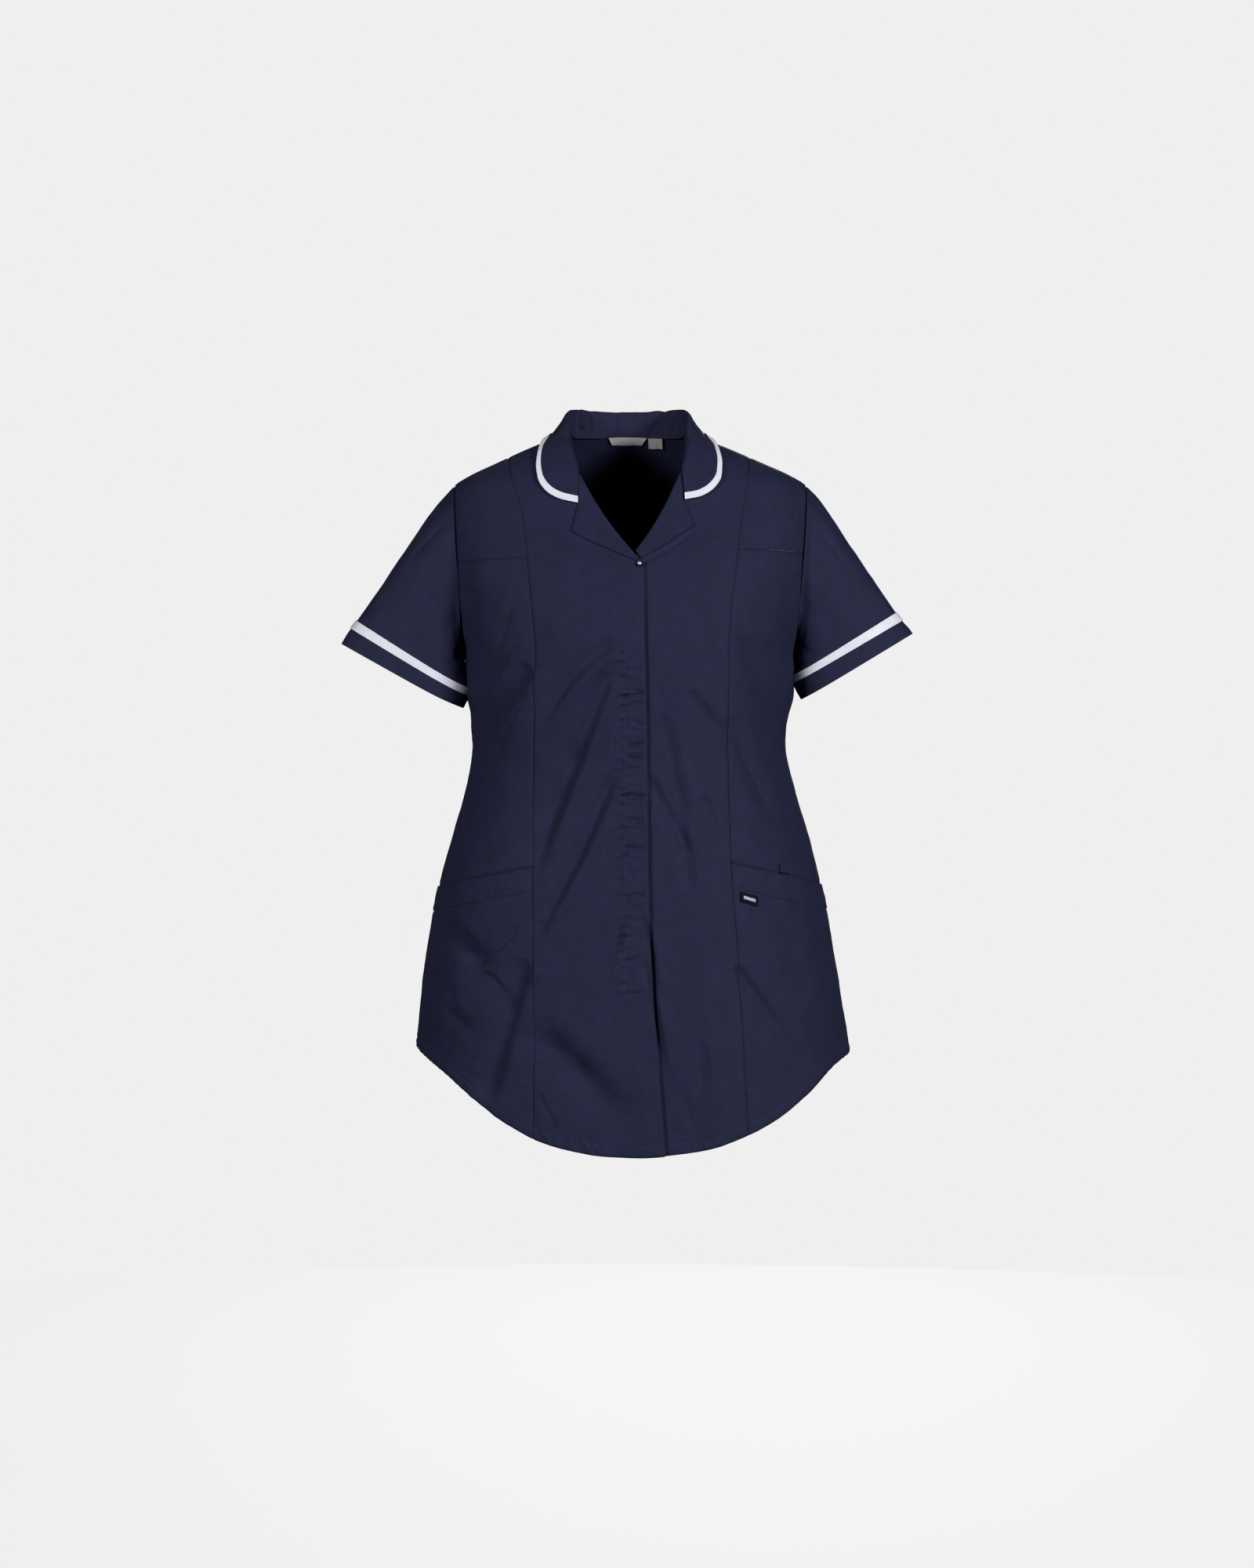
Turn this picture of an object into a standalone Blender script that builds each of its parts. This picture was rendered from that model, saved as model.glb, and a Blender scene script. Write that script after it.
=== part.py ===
"""Maternity tunic with short sleeves, a notched collar and two patch pockets, as it hangs when worn.

Every piece of cloth is a thin wall on one form. A place on the form is a turn round the body, which is
0 at the centre front, +90 degrees at the wearer's left side seam and 180 at the centre back, and a drop
below the neck point. The front faces -Y, the wearer's left is +X, and the origin is midway between the
two points where the shoulder seams meet the neck.
"""

import math

import bmesh
import bpy
import numpy as np
from mathutils import Vector

# Thicknesses and gaps
CLOTH = 0.0012
SEAM_GAP = 0.0003
SEAM_TRIM = SEAM_GAP / 2 + 0.00005
TAPE = 0.0010
LABEL = 0.0010

# How far a piece lies off the form: on a panel, on two layers, and the front that is lapped under
ON_PANEL = CLOTH + SEAM_GAP
UNDER_LAP = -0.0032
LAP_FADE = (0.045, 0.095)

# Roundness of the body's cross sections: 2 is an ellipse, more is squarer
ROUNDNESS = 2.25
SLEEVE_ROUNDNESS = 2.3

# Key levels, as drops below the neck point
NECK_DROP = 0.004
SHOULDER_TIP_DROP = 0.0657
UNDERARM_DROP = 0.262
HEM_DROP = 0.8198

RIGHT, LEFT = -1, 1
SIDES = {"right": RIGHT, "left": LEFT}
QUARTER = math.pi / 2


def table(names, *rows):
    """A short table as named columns."""
    return dict(zip(names.split(), (np.array(values) for values in zip(*rows))))


BODY = table(
    "drop half_width centre front back",
    (0.0000, 0.0615, 0.0000, 0.0620, 0.0705),
    (0.0040, 0.0676, 0.0000, 0.0650, 0.0725),
    (0.0261, 0.1206, 0.0010, 0.0760, 0.0840),
    (0.0405, 0.1530, 0.0020, 0.0820, 0.0910),
    (0.0549, 0.1845, 0.0027, 0.0880, 0.0970),
    (0.0657, 0.2015, 0.0030, 0.0930, 0.1010),
    (0.0750, 0.2085, 0.0030, 0.0970, 0.1040),
    (0.0900, 0.2135, 0.0030, 0.1020, 0.1090),
    (0.1200, 0.2155, 0.0028, 0.1145, 0.1165),
    (0.1600, 0.2130, 0.0025, 0.1310, 0.1200),
    (0.2000, 0.2055, 0.0023, 0.1430, 0.1190),
    (0.2300, 0.1970, 0.0020, 0.1480, 0.1170),
    (0.2620, 0.1865, 0.0018, 0.1515, 0.1140),
    (0.3000, 0.1820, 0.0018, 0.1520, 0.1090),
    (0.3450, 0.1805, 0.0014, 0.1500, 0.1030),
    (0.3670, 0.1800, 0.0016, 0.1490, 0.1010),
    (0.4120, 0.1880, 0.0024, 0.1490, 0.1030),
    (0.4570, 0.2010, 0.0030, 0.1520, 0.1090),
    (0.5250, 0.2195, 0.0026, 0.1580, 0.1170),
    (0.5920, 0.2322, 0.0026, 0.1625, 0.1235),
    (0.6600, 0.2421, 0.0040, 0.1660, 0.1280),
    (0.7050, 0.2475, 0.0054, 0.1675, 0.1300),
    (0.8400, 0.2620, 0.0054, 0.1680, 0.1350),
)

# Across are distances from the body's centre line
ARMHOLE = table(
    "drop across",
    (0.0657, 0.2015),
    (0.0750, 0.2008),
    (0.0900, 0.2000),
    (0.1150, 0.1985),
    (0.1570, 0.1958),
    (0.2000, 0.1928),
    (0.2350, 0.1903),
    (0.2620, 0.1865),
)
NECKLINE = table(
    "drop across",
    (0.0040, 0.0676),
    (0.0110, 0.0676),
    (0.0180, 0.0676),
    (0.0250, 0.0665),
    (0.0360, 0.0643),
    (0.0462, 0.0617),
    (0.0600, 0.0592),
)
BACK_NECKLINE = table(
    "turn drop",
    (math.radians(90), 0.0040),
    (math.radians(115), 0.0054),
    (math.radians(140), 0.0040),
    (math.radians(180), 0.0004),
)

# The long seams down the front, from shoulder to hem, in places across the whole front
PRINCESS = {
    RIGHT: table(
        "drop across",
        (0.0330, -0.1360),
        (0.0533, -0.1338),
        (0.0999, -0.1205),
        (0.1550, -0.1130),
        (0.2771, -0.1045),
        (0.5007, -0.1065),
        (0.7105, -0.1047),
        (0.7930, -0.1047),
    ),
    LEFT: table(
        "drop across",
        (0.0330, 0.1385),
        (0.0583, 0.1362),
        (0.1000, 0.1295),
        (0.1441, 0.1239),
        (0.2334, 0.1145),
        (0.3641, 0.1125),
        (0.4964, 0.1150),
        (0.6028, 0.1227),
        (0.7108, 0.1290),
        (0.7930, 0.1340),
    ),
}
PRINCESS_TOP_DROP = 0.0336
PRINCESS_HEM_DROP = {RIGHT: 0.7990, LEFT: 0.7955}
CHEST_SEAM_DROP = {RIGHT: (0.1550, 0.1572), LEFT: (0.1441, 0.1465)}
POCKET_MOUTH_DROP = {RIGHT: (0.5007, 0.5245), LEFT: (0.4964, 0.5222)}

# Front edge of the right front, which laps over the left one by LAP
FRONT_EDGE = table(
    "drop across",
    (0.1590, 0.0140),
    (0.1650, 0.0182),
    (0.2169, 0.0180),
    (0.3211, 0.0199),
    (0.4510, 0.0216),
    (0.5373, 0.0229),
    (0.6020, 0.0259),
    (0.6880, 0.0314),
    (0.7742, 0.0379),
    (0.8300, 0.0423),
)
LAP = 0.036
EDGE_CORNER_DROP = 0.1650

# Roll lines of the lapels, from the gorge to the break point, their bow toward the front, and how far
# the fronts stop short of them
ROLL_TOP = {RIGHT: (-0.0534, 0.0600), LEFT: (0.0588, 0.0560)}
ROLL_END = {RIGHT: (0.0129, 0.1572), LEFT: (-0.0030, 0.1617)}
ROLL_BOW = {RIGHT: 0.0043, LEFT: 0.0050}
ROLL_SHY = 0.0032

# Outer edge of each lapel, as (across, drop): notch, tip, along the lower edge
LAPEL_NOTCH = {RIGHT: (-0.0550, 0.0941), LEFT: (0.0633, 0.0900)}
LAPEL_EDGE = {
    RIGHT: ((-0.0621, 0.1257), (-0.0475, 0.1345), (-0.0332, 0.1413), (-0.0125, 0.1505), (0.0049, 0.1578)),
    LEFT: ((0.0742, 0.1181), (0.0603, 0.1272), (0.0470, 0.1360), (0.0330, 0.1452)),
}
LAPEL_END = {RIGHT: (0.0098, 0.1603), LEFT: (0.0146, 0.1556)}
LAPEL_ROWS = {RIGHT: 7, LEFT: 6}
LAPEL_COLUMNS = (3, 2)
LAPEL_WRAP = 0.010
LAPEL_FOLD = 0.0022
LAPEL_INSIDE = -(2 * CLOTH + 2 * SEAM_GAP)
LAPEL_LIFT = 0.0020
GORGE_GAP = 0.0005

# Rise of the hem over its lowest level, by the place across as a share of the half width
HEM = table(
    "share rise",
    (-1.00, 0.1130),
    (-0.83, 0.0862),
    (-0.68, 0.0577),
    (-0.53, 0.0333),
    (-0.39, 0.0163),
    (-0.26, 0.0073),
    (-0.12, 0.0016),
    (0.04, 0.0000),
    (0.21, 0.0040),
    (0.34, 0.0096),
    (0.48, 0.0217),
    (0.62, 0.0385),
    (0.77, 0.0652),
    (0.93, 0.0985),
    (1.00, 0.1060),
)

# Largest folds, as troughs of a depth and a half width between two places
FRONT_FOLDS = table(
    "across drop end_across end_drop half_width depth",
    (-0.014, 0.295, -0.057, 0.382, 0.014, 0.0030),
    (-0.057, 0.382, -0.100, 0.490, 0.016, 0.0034),
    (-0.014, 0.395, -0.053, 0.490, 0.013, 0.0026),
    (-0.053, 0.490, -0.098, 0.564, 0.014, 0.0026),
    (-0.105, 0.243, -0.161, 0.365, 0.018, 0.0026),
    (-0.204, 0.568, -0.168, 0.604, 0.014, 0.0024),
    (-0.122, 0.572, -0.168, 0.604, 0.014, 0.0026),
    (-0.168, 0.604, -0.135, 0.650, 0.014, 0.0026),
    (-0.109, 0.633, -0.152, 0.737, 0.020, 0.0036),
    (-0.100, 0.689, -0.018, 0.767, 0.022, 0.0040),
    (0.047, 0.334, 0.068, 0.464, 0.018, 0.0020),
    (0.138, 0.256, 0.172, 0.356, 0.016, 0.0024),
    (0.120, 0.352, 0.164, 0.442, 0.016, 0.0022),
    (0.129, 0.620, 0.190, 0.711, 0.014, 0.0024),
)
BACK_FOLDS = table(
    "across drop end_across end_drop half_width depth",
    (-0.040, 0.318, -0.135, 0.372, 0.018, 0.0036),
    (0.055, 0.325, 0.140, 0.392, 0.018, 0.0034),
    (-0.105, 0.395, 0.020, 0.425, 0.020, 0.0030),
    (-0.110, 0.560, -0.135, 0.780, 0.026, 0.0050),
    (0.070, 0.540, 0.088, 0.790, 0.028, 0.0052),
    (-0.022, 0.600, -0.016, 0.800, 0.024, 0.0040),
    (0.165, 0.580, 0.190, 0.740, 0.022, 0.0038),
)

FOLD_FADE = 4

# Rings down each sleeve from the armhole to the cuff: outer and inner fold, and depth before and behind
SLEEVE = {
    RIGHT: table(
        "outer outer_drop inner inner_drop forward front back",
        (0.2110, 0.0795, 0.1880, 0.2672, 0.000, 0.0560, 0.0520),
        (0.2300, 0.1025, 0.1882, 0.2740, 0.001, 0.0540, 0.0510),
        (0.2560, 0.1410, 0.1872, 0.2830, 0.004, 0.0500, 0.0480),
        (0.2830, 0.1815, 0.1856, 0.2920, 0.008, 0.0450, 0.0430),
        (0.3078, 0.2180, 0.1840, 0.2990, 0.012, 0.0400, 0.0390),
        (0.3185, 0.2330, 0.1905, 0.3095, 0.014, 0.0380, 0.0375),
        (0.3276, 0.2475, 0.1970, 0.3208, 0.015, 0.0370, 0.0360),
    ),
    LEFT: table(
        "outer outer_drop inner inner_drop forward front back",
        (0.2165, 0.0780, 0.1918, 0.2665, 0.000, 0.0560, 0.0520),
        (0.2340, 0.1017, 0.1918, 0.2725, 0.001, 0.0540, 0.0510),
        (0.2590, 0.1400, 0.1910, 0.2790, 0.004, 0.0500, 0.0480),
        (0.2848, 0.1785, 0.1898, 0.2835, 0.008, 0.0450, 0.0430),
        (0.3068, 0.2115, 0.1885, 0.2857, 0.012, 0.0400, 0.0390),
        (0.3162, 0.2240, 0.1930, 0.2960, 0.014, 0.0380, 0.0375),
        (0.3258, 0.2358, 0.2015, 0.3110, 0.015, 0.0370, 0.0360),
    ),
}
SLEEVE_START = 0.0010
CUFF_BACK_RISE = 0.006
TAPE_RINGS = {RIGHT: (4.17, 4.80), LEFT: (4.02, 4.74)}

# Collar stations from the centre back to the gorge: the turn of its seam inside the neck's edge, then
# its fold and its outer edge as across from the centre line, deep along +Y and drop, which is negative
# above the neck point; fold is the fold's radius, clear its height over the body, longer its share of
# the extra length that the right end has
COLLAR = table(
    "seam_turn roll_across roll_deep roll_drop edge_across edge_deep edge_drop fold clear longer",
    (180.0, 0.0000, 0.0715, -0.0267, 0.0000, 0.0880, 0.0220, 0.0030, 0.0022, 0.0),
    (166.0, 0.0190, 0.0695, -0.0267, 0.0235, 0.0860, 0.0220, 0.0030, 0.0022, 0.0),
    (150.0, 0.0370, 0.0635, -0.0268, 0.0470, 0.0785, 0.0210, 0.0030, 0.0022, 0.0),
    (134.0, 0.0520, 0.0510, -0.0272, 0.0665, 0.0660, 0.0185, 0.0029, 0.0022, 0.0),
    (116.0, 0.0640, 0.0330, -0.0256, 0.0815, 0.0460, 0.0155, 0.0027, 0.0022, 0.0),
    (102.0, 0.0686, 0.0150, -0.0210, 0.0890, 0.0220, 0.0125, 0.0025, 0.0022, 0.0),
    (88.0, 0.0692, -0.0020, -0.0145, 0.0925, -0.0050, 0.0125, 0.0024, 0.0022, 0.0),
    (74.0, 0.0688, -0.0190, -0.0062, 0.0958, -0.0330, 0.0205, 0.0024, 0.0022, 0.2),
    (59.5, 0.0668, -0.0360, 0.0040, 0.0998, -0.0560, 0.0350, 0.0024, 0.0022, 0.5),
    (45.0, 0.0652, -0.0505, 0.0145, 0.1025, -0.0700, 0.0490, 0.0024, 0.0022, 0.9),
    (32.7, 0.0637, -0.0625, 0.0250, 0.1012, -0.0815, 0.0640, 0.0024, 0.0022, 1.0),
    (25.5, 0.0617, -0.0730, 0.0360, 0.0925, -0.0895, 0.0778, 0.0024, 0.0020, 1.0),
    (20.3, 0.0593, -0.0805, 0.0462, 0.0770, -0.0957, 0.0868, 0.0023, 0.0014, 1.0),
    (16.8, 0.0570, -0.0862, 0.0572, 0.0600, -0.1000, 0.0900, 0.0022, 0.0006, 0.0),
)
COLLAR_FALL = (0.0, 0.33, 0.67, 1.0)
COLLAR_SEAM_IN = 0.0036
COLLAR_SEAM_DOWN = 0.0020
COLLAR_LONGER = {RIGHT: 0.0030, LEFT: 0.0}
COLLAR_TAPE_WIDTH = 0.0078
COLLAR_TAPE_LIFT = 0.0010

# Small pieces
POCKET_GAPE = 0.0026
POCKET_GAPE_FADE = 2.5
POCKET_LABEL_LIFT = 0.0022
STUD_PLACE = (0.0130, 0.1636)
STUD_HEIGHT = 0.0014
STUD_STEPS = 12
# The stud's outline from its rim to its dimple, as (radius, height)
STUD_PROFILE = ((0.0036, 0.0), (0.0036, 0.0007), (0.0024, 0.0009), (0.0014, STUD_HEIGHT))
POCKET_LABEL = ((0.1243, 0.5268), (0.1437, 0.5306))
POCKET_LABEL_HEIGHT = 0.0112
POCKET_TAB = ((0.1690, 0.4968), (0.1812, 0.4992))
POCKET_TAB_HEIGHT = 0.0098
NECK_LABEL = ((-0.0236, 0.0236), (-0.0188, 0.0166), 0.0036, 0.0122)
SIZE_LABEL = ((0.0247, 0.0414), (0.0247, 0.0414), 0.0064, 0.0179)
LABEL_CLEAR = 0.0016

# Intervals of the walls
FRONT_COLUMNS = 8
SIDE_COLUMNS = 6
SHOULDER_ROWS = (5, 7)
ARMHOLE_ROWS = (12, 6)
SIDE_ROWS = (8, 6)
BACK_ARMHOLE_ROWS = 11
BACK_SIDE_ROWS = 11
BACK_COLUMNS = (5, 14)
LABEL_STEPS = (4, 2)

NAVY = (0.020, 0.023, 0.052, 1.0)
WHITE = (0.72, 0.71, 0.80, 1.0)
CREAM = (0.56, 0.52, 0.50, 1.0)
STEEL = (0.62, 0.63, 0.66, 1.0)


# Curves and the form

def smooth(x, y, at):
    """A smooth curve through points, which never swings past them."""
    at = np.clip(at, x[0], x[-1])
    step = np.diff(x)
    slope = np.diff(y) / step
    agree = slope[:-1] * slope[1:] > 0
    total = np.where(agree, slope[:-1] + slope[1:], 1.0)
    inner = np.where(agree, 2 * slope[:-1] * slope[1:] / total, 0.0)
    tangent = np.concatenate([slope[:1], inner, slope[-1:]])
    i = np.clip(np.searchsorted(x, at) - 1, 0, len(step) - 1)
    t = (at - x[i]) / step[i]
    value = (1 + 2 * t) * (1 - t) ** 2 * y[i] + t * t * (3 - 2 * t) * y[i + 1]
    return value + step[i] * t * (1 - t) * ((1 - t) * tangent[i] - t * tangent[i + 1])


def read(columns, name, drop):
    """One column of a table at a drop."""
    return smooth(columns["drop"], columns[name], drop)


def form(turn, drop):
    """The place in space at a turn round the body and a drop below the neck point."""
    power = 2 / ROUNDNESS
    sine, cosine = np.sin(turn), np.cos(turn)
    across = read(BODY, "half_width", drop) * np.sign(sine) * np.abs(sine) ** power
    depth = np.where(cosine > 0, -read(BODY, "front", drop), read(BODY, "back", drop))
    return np.stack(
        [read(BODY, "centre", drop) + across, depth * np.abs(cosine) ** power, -drop + 0 * turn], axis=-1
    )


def outward(turn, drop):
    """The direction straight out of the form."""
    turn_step, drop_step = 0.004, 0.001
    round_it = form(turn + turn_step, drop) - form(turn - turn_step, drop)
    down = form(turn, drop + drop_step) - form(turn, drop - drop_step)
    normal = np.cross(down, round_it)
    return normal / np.linalg.norm(normal, axis=-1, keepdims=True)


def turn_at(across, drop, behind=False):
    """The turn at which the form is a given distance across, before or behind the side seams."""
    share = (across - read(BODY, "centre", drop)) / read(BODY, "half_width", drop)
    share = np.clip(share, -1, 1)
    turn = np.arcsin(np.sign(share) * np.abs(share) ** (ROUNDNESS / 2))
    return math.pi - turn if behind else turn


def fold_depth(turn, drop):
    """How far the folds draw the cloth in; they fade out toward the side seams."""
    across = form(turn, drop)[..., 0]
    depth = 0.0 * turn
    for folds, facing in ((FRONT_FOLDS, np.cos(turn)), (BACK_FOLDS, -np.cos(turn))):
        near = np.clip(facing * FOLD_FADE, 0, 1)
        for x0, d0, x1, d1, half_width, deep in zip(*folds.values()):
            run = (x1 - x0) ** 2 + (d1 - d0) ** 2
            along = ((across - x0) * (x1 - x0) + (drop - d0) * (d1 - d0)) / run
            along = np.clip(along, 0, 1)
            away = (across - x0 - along * (x1 - x0)) ** 2 + (drop - d0 - along * (d1 - d0)) ** 2
            depth = depth + deep * near * np.exp(-away / half_width**2)
    return depth


def on_form(places, lift=0.0):
    """Points on the cloth for an array of (turn, drop), moved out by a lift."""
    turn, drop = places[..., 0], places[..., 1]
    out = outward(turn, drop)
    return form(turn, drop) + out * (lift - fold_depth(turn, drop))[..., None]


def places_at(points, behind=False):
    """(turn, drop) for an array of (across, drop)."""
    points = np.asarray(points, float)
    return np.stack([turn_at(points[..., 0], points[..., 1], behind), points[..., 1]], axis=-1)


def between(start, end, count):
    """Points spread evenly from start to end, in count intervals."""
    t = np.linspace(0, 1, count + 1)[:, None]
    return (1 - t) * np.asarray(start, float) + t * np.asarray(end, float)


def joined(*runs):
    """Runs of points end to end, each starting where the last one stopped."""
    return np.concatenate([runs[0]] + [run[1:] for run in runs[1:]])


def along(points, count):
    """Points spread evenly by length along a line through given points."""
    points = np.asarray(points, float)
    length = np.concatenate([[0], np.cumsum(np.linalg.norm(np.diff(points, axis=0), axis=1))])
    at = np.linspace(0, length[-1], count + 1)
    return np.stack([np.interp(at, length, points[:, i]) for i in range(points.shape[1])], axis=1)


def patch(top, bottom, first, last):
    """Places between four seams: top and bottom run across, first and last run down."""
    u = np.linspace(0, 1, len(top))[None, :, None]
    v = np.linspace(0, 1, len(first))[:, None, None]
    across = (1 - u) * first[:, None] + u * last[:, None]
    down = (1 - v) * top[None] + v * bottom[None]
    corners = (1 - u) * ((1 - v) * top[0] + v * bottom[0]) + u * ((1 - v) * top[-1] + v * bottom[-1])
    return across + down - corners


# Walls of cloth

def material(name, colour, roughness, metallic=0.0):
    """The finish of one sub-part."""
    finish = bpy.data.materials.new(name)
    finish.use_nodes = True
    shader = finish.node_tree.nodes["Principled BSDF"]
    shader.inputs["Base Color"].default_value = colour
    shader.inputs["Roughness"].default_value = roughness
    shader.inputs["Metallic"].default_value = metallic
    return finish


def trim(points, amount=SEAM_TRIM, axes=(0, 1)):
    """Draws a wall's edges in by half a seam's gap: its first and last rows, columns, or both."""
    points = points.copy()
    for axis in axes:
        grid = np.moveaxis(points, axis, 0)
        for edge, inside in ((0, 1), (-1, -2)):
            step = grid[inside] - grid[edge]
            grid[edge] += amount * step / np.linalg.norm(step, axis=-1, keepdims=True)
    return points


def grid_normals(points, ring=False):
    """Directions square to a grid of points, on the side of rows down by columns across."""
    if ring:
        around = np.roll(points, -1, axis=1) - np.roll(points, 1, axis=1)
    else:
        around = np.gradient(points, axis=1)
    normal = np.cross(np.gradient(points, axis=0), around)
    return normal / np.linalg.norm(normal, axis=-1, keepdims=True)


def build_wall(name, finish, outer, inner, ring=False):
    """One closed wall between two grids of points, each rows by columns; a ring closes across."""
    if ring:
        outer = np.concatenate([outer, outer[:, :1]], axis=1)
        inner = np.concatenate([inner, inner[:, :1]], axis=1)
    rows, columns = outer.shape[:2]
    bm = bmesh.new()
    bmesh.ops.create_grid(bm, x_segments=columns - 1, y_segments=rows - 1, size=1)
    place = bm.verts.layers.int.new("place")
    for index, vert in enumerate(bm.verts):
        vert[place] = index
        vert.co = outer[index // columns, index % columns]
    if ring:
        bmesh.ops.remove_doubles(bm, verts=bm.verts, dist=1e-6)
    raised = bmesh.ops.extrude_face_region(bm, geom=bm.faces[:], use_keep_orig=True)
    for vert in raised["geom"]:
        if isinstance(vert, bmesh.types.BMVert):
            vert.co = inner[vert[place] // columns, vert[place] % columns]
    bmesh.ops.recalc_face_normals(bm, faces=bm.faces)
    mesh = bpy.data.meshes.new(name)
    bm.to_mesh(mesh)
    bm.free()
    mesh.shade_smooth()
    mesh.set_sharp_from_angle(angle=math.radians(50))
    mesh.materials.append(finish)
    obj = bpy.data.objects.new(name, mesh)
    bpy.context.scene.collection.objects.link(obj)
    return obj


def panel(name, finish, places, lift=0.0, thickness=CLOTH, seam_gap=True):
    """A wall of cloth on the form; its thickness goes in, square to the form."""
    outer = on_form(places, lift)
    if seam_gap:
        outer = trim(outer)
    inner = outer - thickness * outward(places[..., 0], places[..., 1])
    return build_wall(name, finish, outer, inner)


# Seams of the body, as (turn, drop)

def armhole(share, behind=False):
    """The armhole seam of the wearer's left side, from 0 at the shoulder tip to 1 at the underarm."""
    drop = SHOULDER_TIP_DROP + (UNDERARM_DROP - SHOULDER_TIP_DROP) * (1 - np.cos(math.pi * share)) / 2
    across = read(BODY, "centre", drop) + read(ARMHOLE, "across", drop)
    turn = turn_at(across, drop, behind)
    turn = np.where((share <= 0) | (share >= 1), QUARTER, turn)
    return np.stack([turn, drop], axis=-1)


def armhole_share(drop):
    """How far down the armhole seam a drop is, from 0 to 1."""
    part = (drop - SHOULDER_TIP_DROP) / (UNDERARM_DROP - SHOULDER_TIP_DROP)
    return math.acos(1 - 2 * part) / math.pi


def mirrored(places):
    """The same places on the wearer's right side."""
    return places * np.array([-1.0, 1.0])


def on_side(side, places):
    """Places given for the wearer's left, on the side asked for."""
    return places if side == LEFT else mirrored(places)


def hem_drop(turn):
    """The drop of the hem at a turn; behind, it is a plain curve between the side seams."""
    sine = np.sin(turn)
    share = np.sign(sine) * np.abs(sine) ** (2 / ROUNDNESS)
    rise = smooth(HEM["share"], HEM["rise"], share)
    corner = np.where(sine > 0, HEM["rise"][-1], HEM["rise"][0])
    return HEM_DROP - np.where(np.cos(turn) >= 0, rise, corner * share**2)


def hem_run(start_turn, end_turn, count):
    """The hem between two turns."""
    turns = np.linspace(start_turn, end_turn, count + 1)
    return np.stack([turns, hem_drop(turns)], axis=-1)


def side_seam(side, start, end, count):
    """The side seam, or the shoulder seam, between two drops."""
    return between((side * QUARTER, start), (side * QUARTER, end), count)


def neck_drop(turn):
    """The drop of the neck's edge at turns from the gorge to the centre back."""
    drops = np.linspace(NECK_DROP, NECKLINE["drop"][-1], 60)
    turns = turn_at(read(BODY, "centre", drops) + read(NECKLINE, "across", drops), drops)
    turns[0] = QUARTER
    front = np.interp(turn, turns[::-1], drops[::-1])
    return np.where(turn < QUARTER, front, smooth(BACK_NECKLINE["turn"], BACK_NECKLINE["drop"], turn))


def princess_run(side, start, end, count):
    """The princess seam between two drops."""
    drops = np.linspace(start, end, count + 1)
    turns = turn_at(read(PRINCESS[side], "across", drops), drops)
    turns = np.where(drops <= PRINCESS_TOP_DROP, side * QUARTER, turns)
    return np.stack([turns, drops], axis=-1)


def princess_seam(side):
    """The whole princess seam: to the chest seam, to the pocket's mouth, to the hem."""
    chest, mouth = CHEST_SEAM_DROP[side][0], POCKET_MOUTH_DROP[side][0]
    hem = PRINCESS_HEM_DROP[side]
    return joined(
        princess_run(side, PRINCESS_TOP_DROP, chest, ARMHOLE_ROWS[0]),
        princess_run(side, chest, mouth, ARMHOLE_ROWS[1] + SIDE_ROWS[0]),
        princess_run(side, mouth, hem, SIDE_ROWS[1]),
    )


def armhole_run(side, start, end, count):
    """The front half of an armhole between two shares of its length."""
    return on_side(side, armhole(np.linspace(start, end, count + 1)))


def roll_line(side, share, aside=0.0):
    """(across, drop) on a lapel's roll line, moved aside on to the front."""
    start, end = np.array(ROLL_TOP[side]), np.array(ROLL_END[side])
    run = (end - start) / np.linalg.norm(end - start)
    toward_panel = np.array([side * run[1], -side * run[0]])
    share = np.asarray(share, float)[..., None]
    bow = ROLL_BOW[side] * np.sin(math.pi * share)
    return (1 - share) * start + share * end + (aside + bow) * toward_panel


def front_inner_edge(side):
    """The neckline, the roll line and the front edge of a front, from the neck point to the hem."""
    neck_rows, roll_rows = SHOULDER_ROWS
    roll = roll_line(side, np.linspace(0, 1, roll_rows + 1), ROLL_SHY)
    neck_drops = np.linspace(NECK_DROP, roll[0, 1], neck_rows + 1)
    neck_across = read(BODY, "centre", neck_drops) + side * read(NECKLINE, "across", neck_drops)
    neck = np.stack([neck_across, neck_drops], axis=-1)
    neck[-1] = roll[0]
    lap = 0.0 if side == RIGHT else LAP
    levels = joined(
        between(roll[-1, 1:], (EDGE_CORNER_DROP,), 1),
        between((EDGE_CORNER_DROP,), (POCKET_MOUTH_DROP[side][0],), ARMHOLE_ROWS[1] + SIDE_ROWS[0] - 1),
        between((POCKET_MOUTH_DROP[side][0],), (HEM_DROP,), SIDE_ROWS[1]),
    )[:, 0]
    edge = np.stack([read(FRONT_EDGE, "across", levels) - lap, levels], axis=-1)
    edge[0] = roll[-1]
    places = places_at(joined(neck, roll, edge))
    places[0] = (side * QUARTER, NECK_DROP)
    places[-1, 1] = hem_drop(places[-1, 0])
    return places


def lap_lift(side, places):
    """The left front dips under the right one where they lap."""
    if side == RIGHT:
        return 0.0 * places[..., 0]
    across = form(places[..., 0], places[..., 1])[..., 0]
    start, end = LAP_FADE
    share = np.clip((end - across) / (end - start), 0, 1)
    return UNDER_LAP * share * share * (3 - 2 * share)


# The pieces of the body

def front_places(side):
    """A front between its princess seam and its edge."""
    outer_seam, inner_edge = princess_seam(side), front_inner_edge(side)
    shoulder = side_seam(side, PRINCESS_TOP_DROP, NECK_DROP, FRONT_COLUMNS)
    hem = hem_run(outer_seam[-1, 0], inner_edge[-1, 0], FRONT_COLUMNS)
    outer_seam[-1] = hem[0]
    return patch(shoulder, hem, outer_seam, inner_edge)


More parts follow.
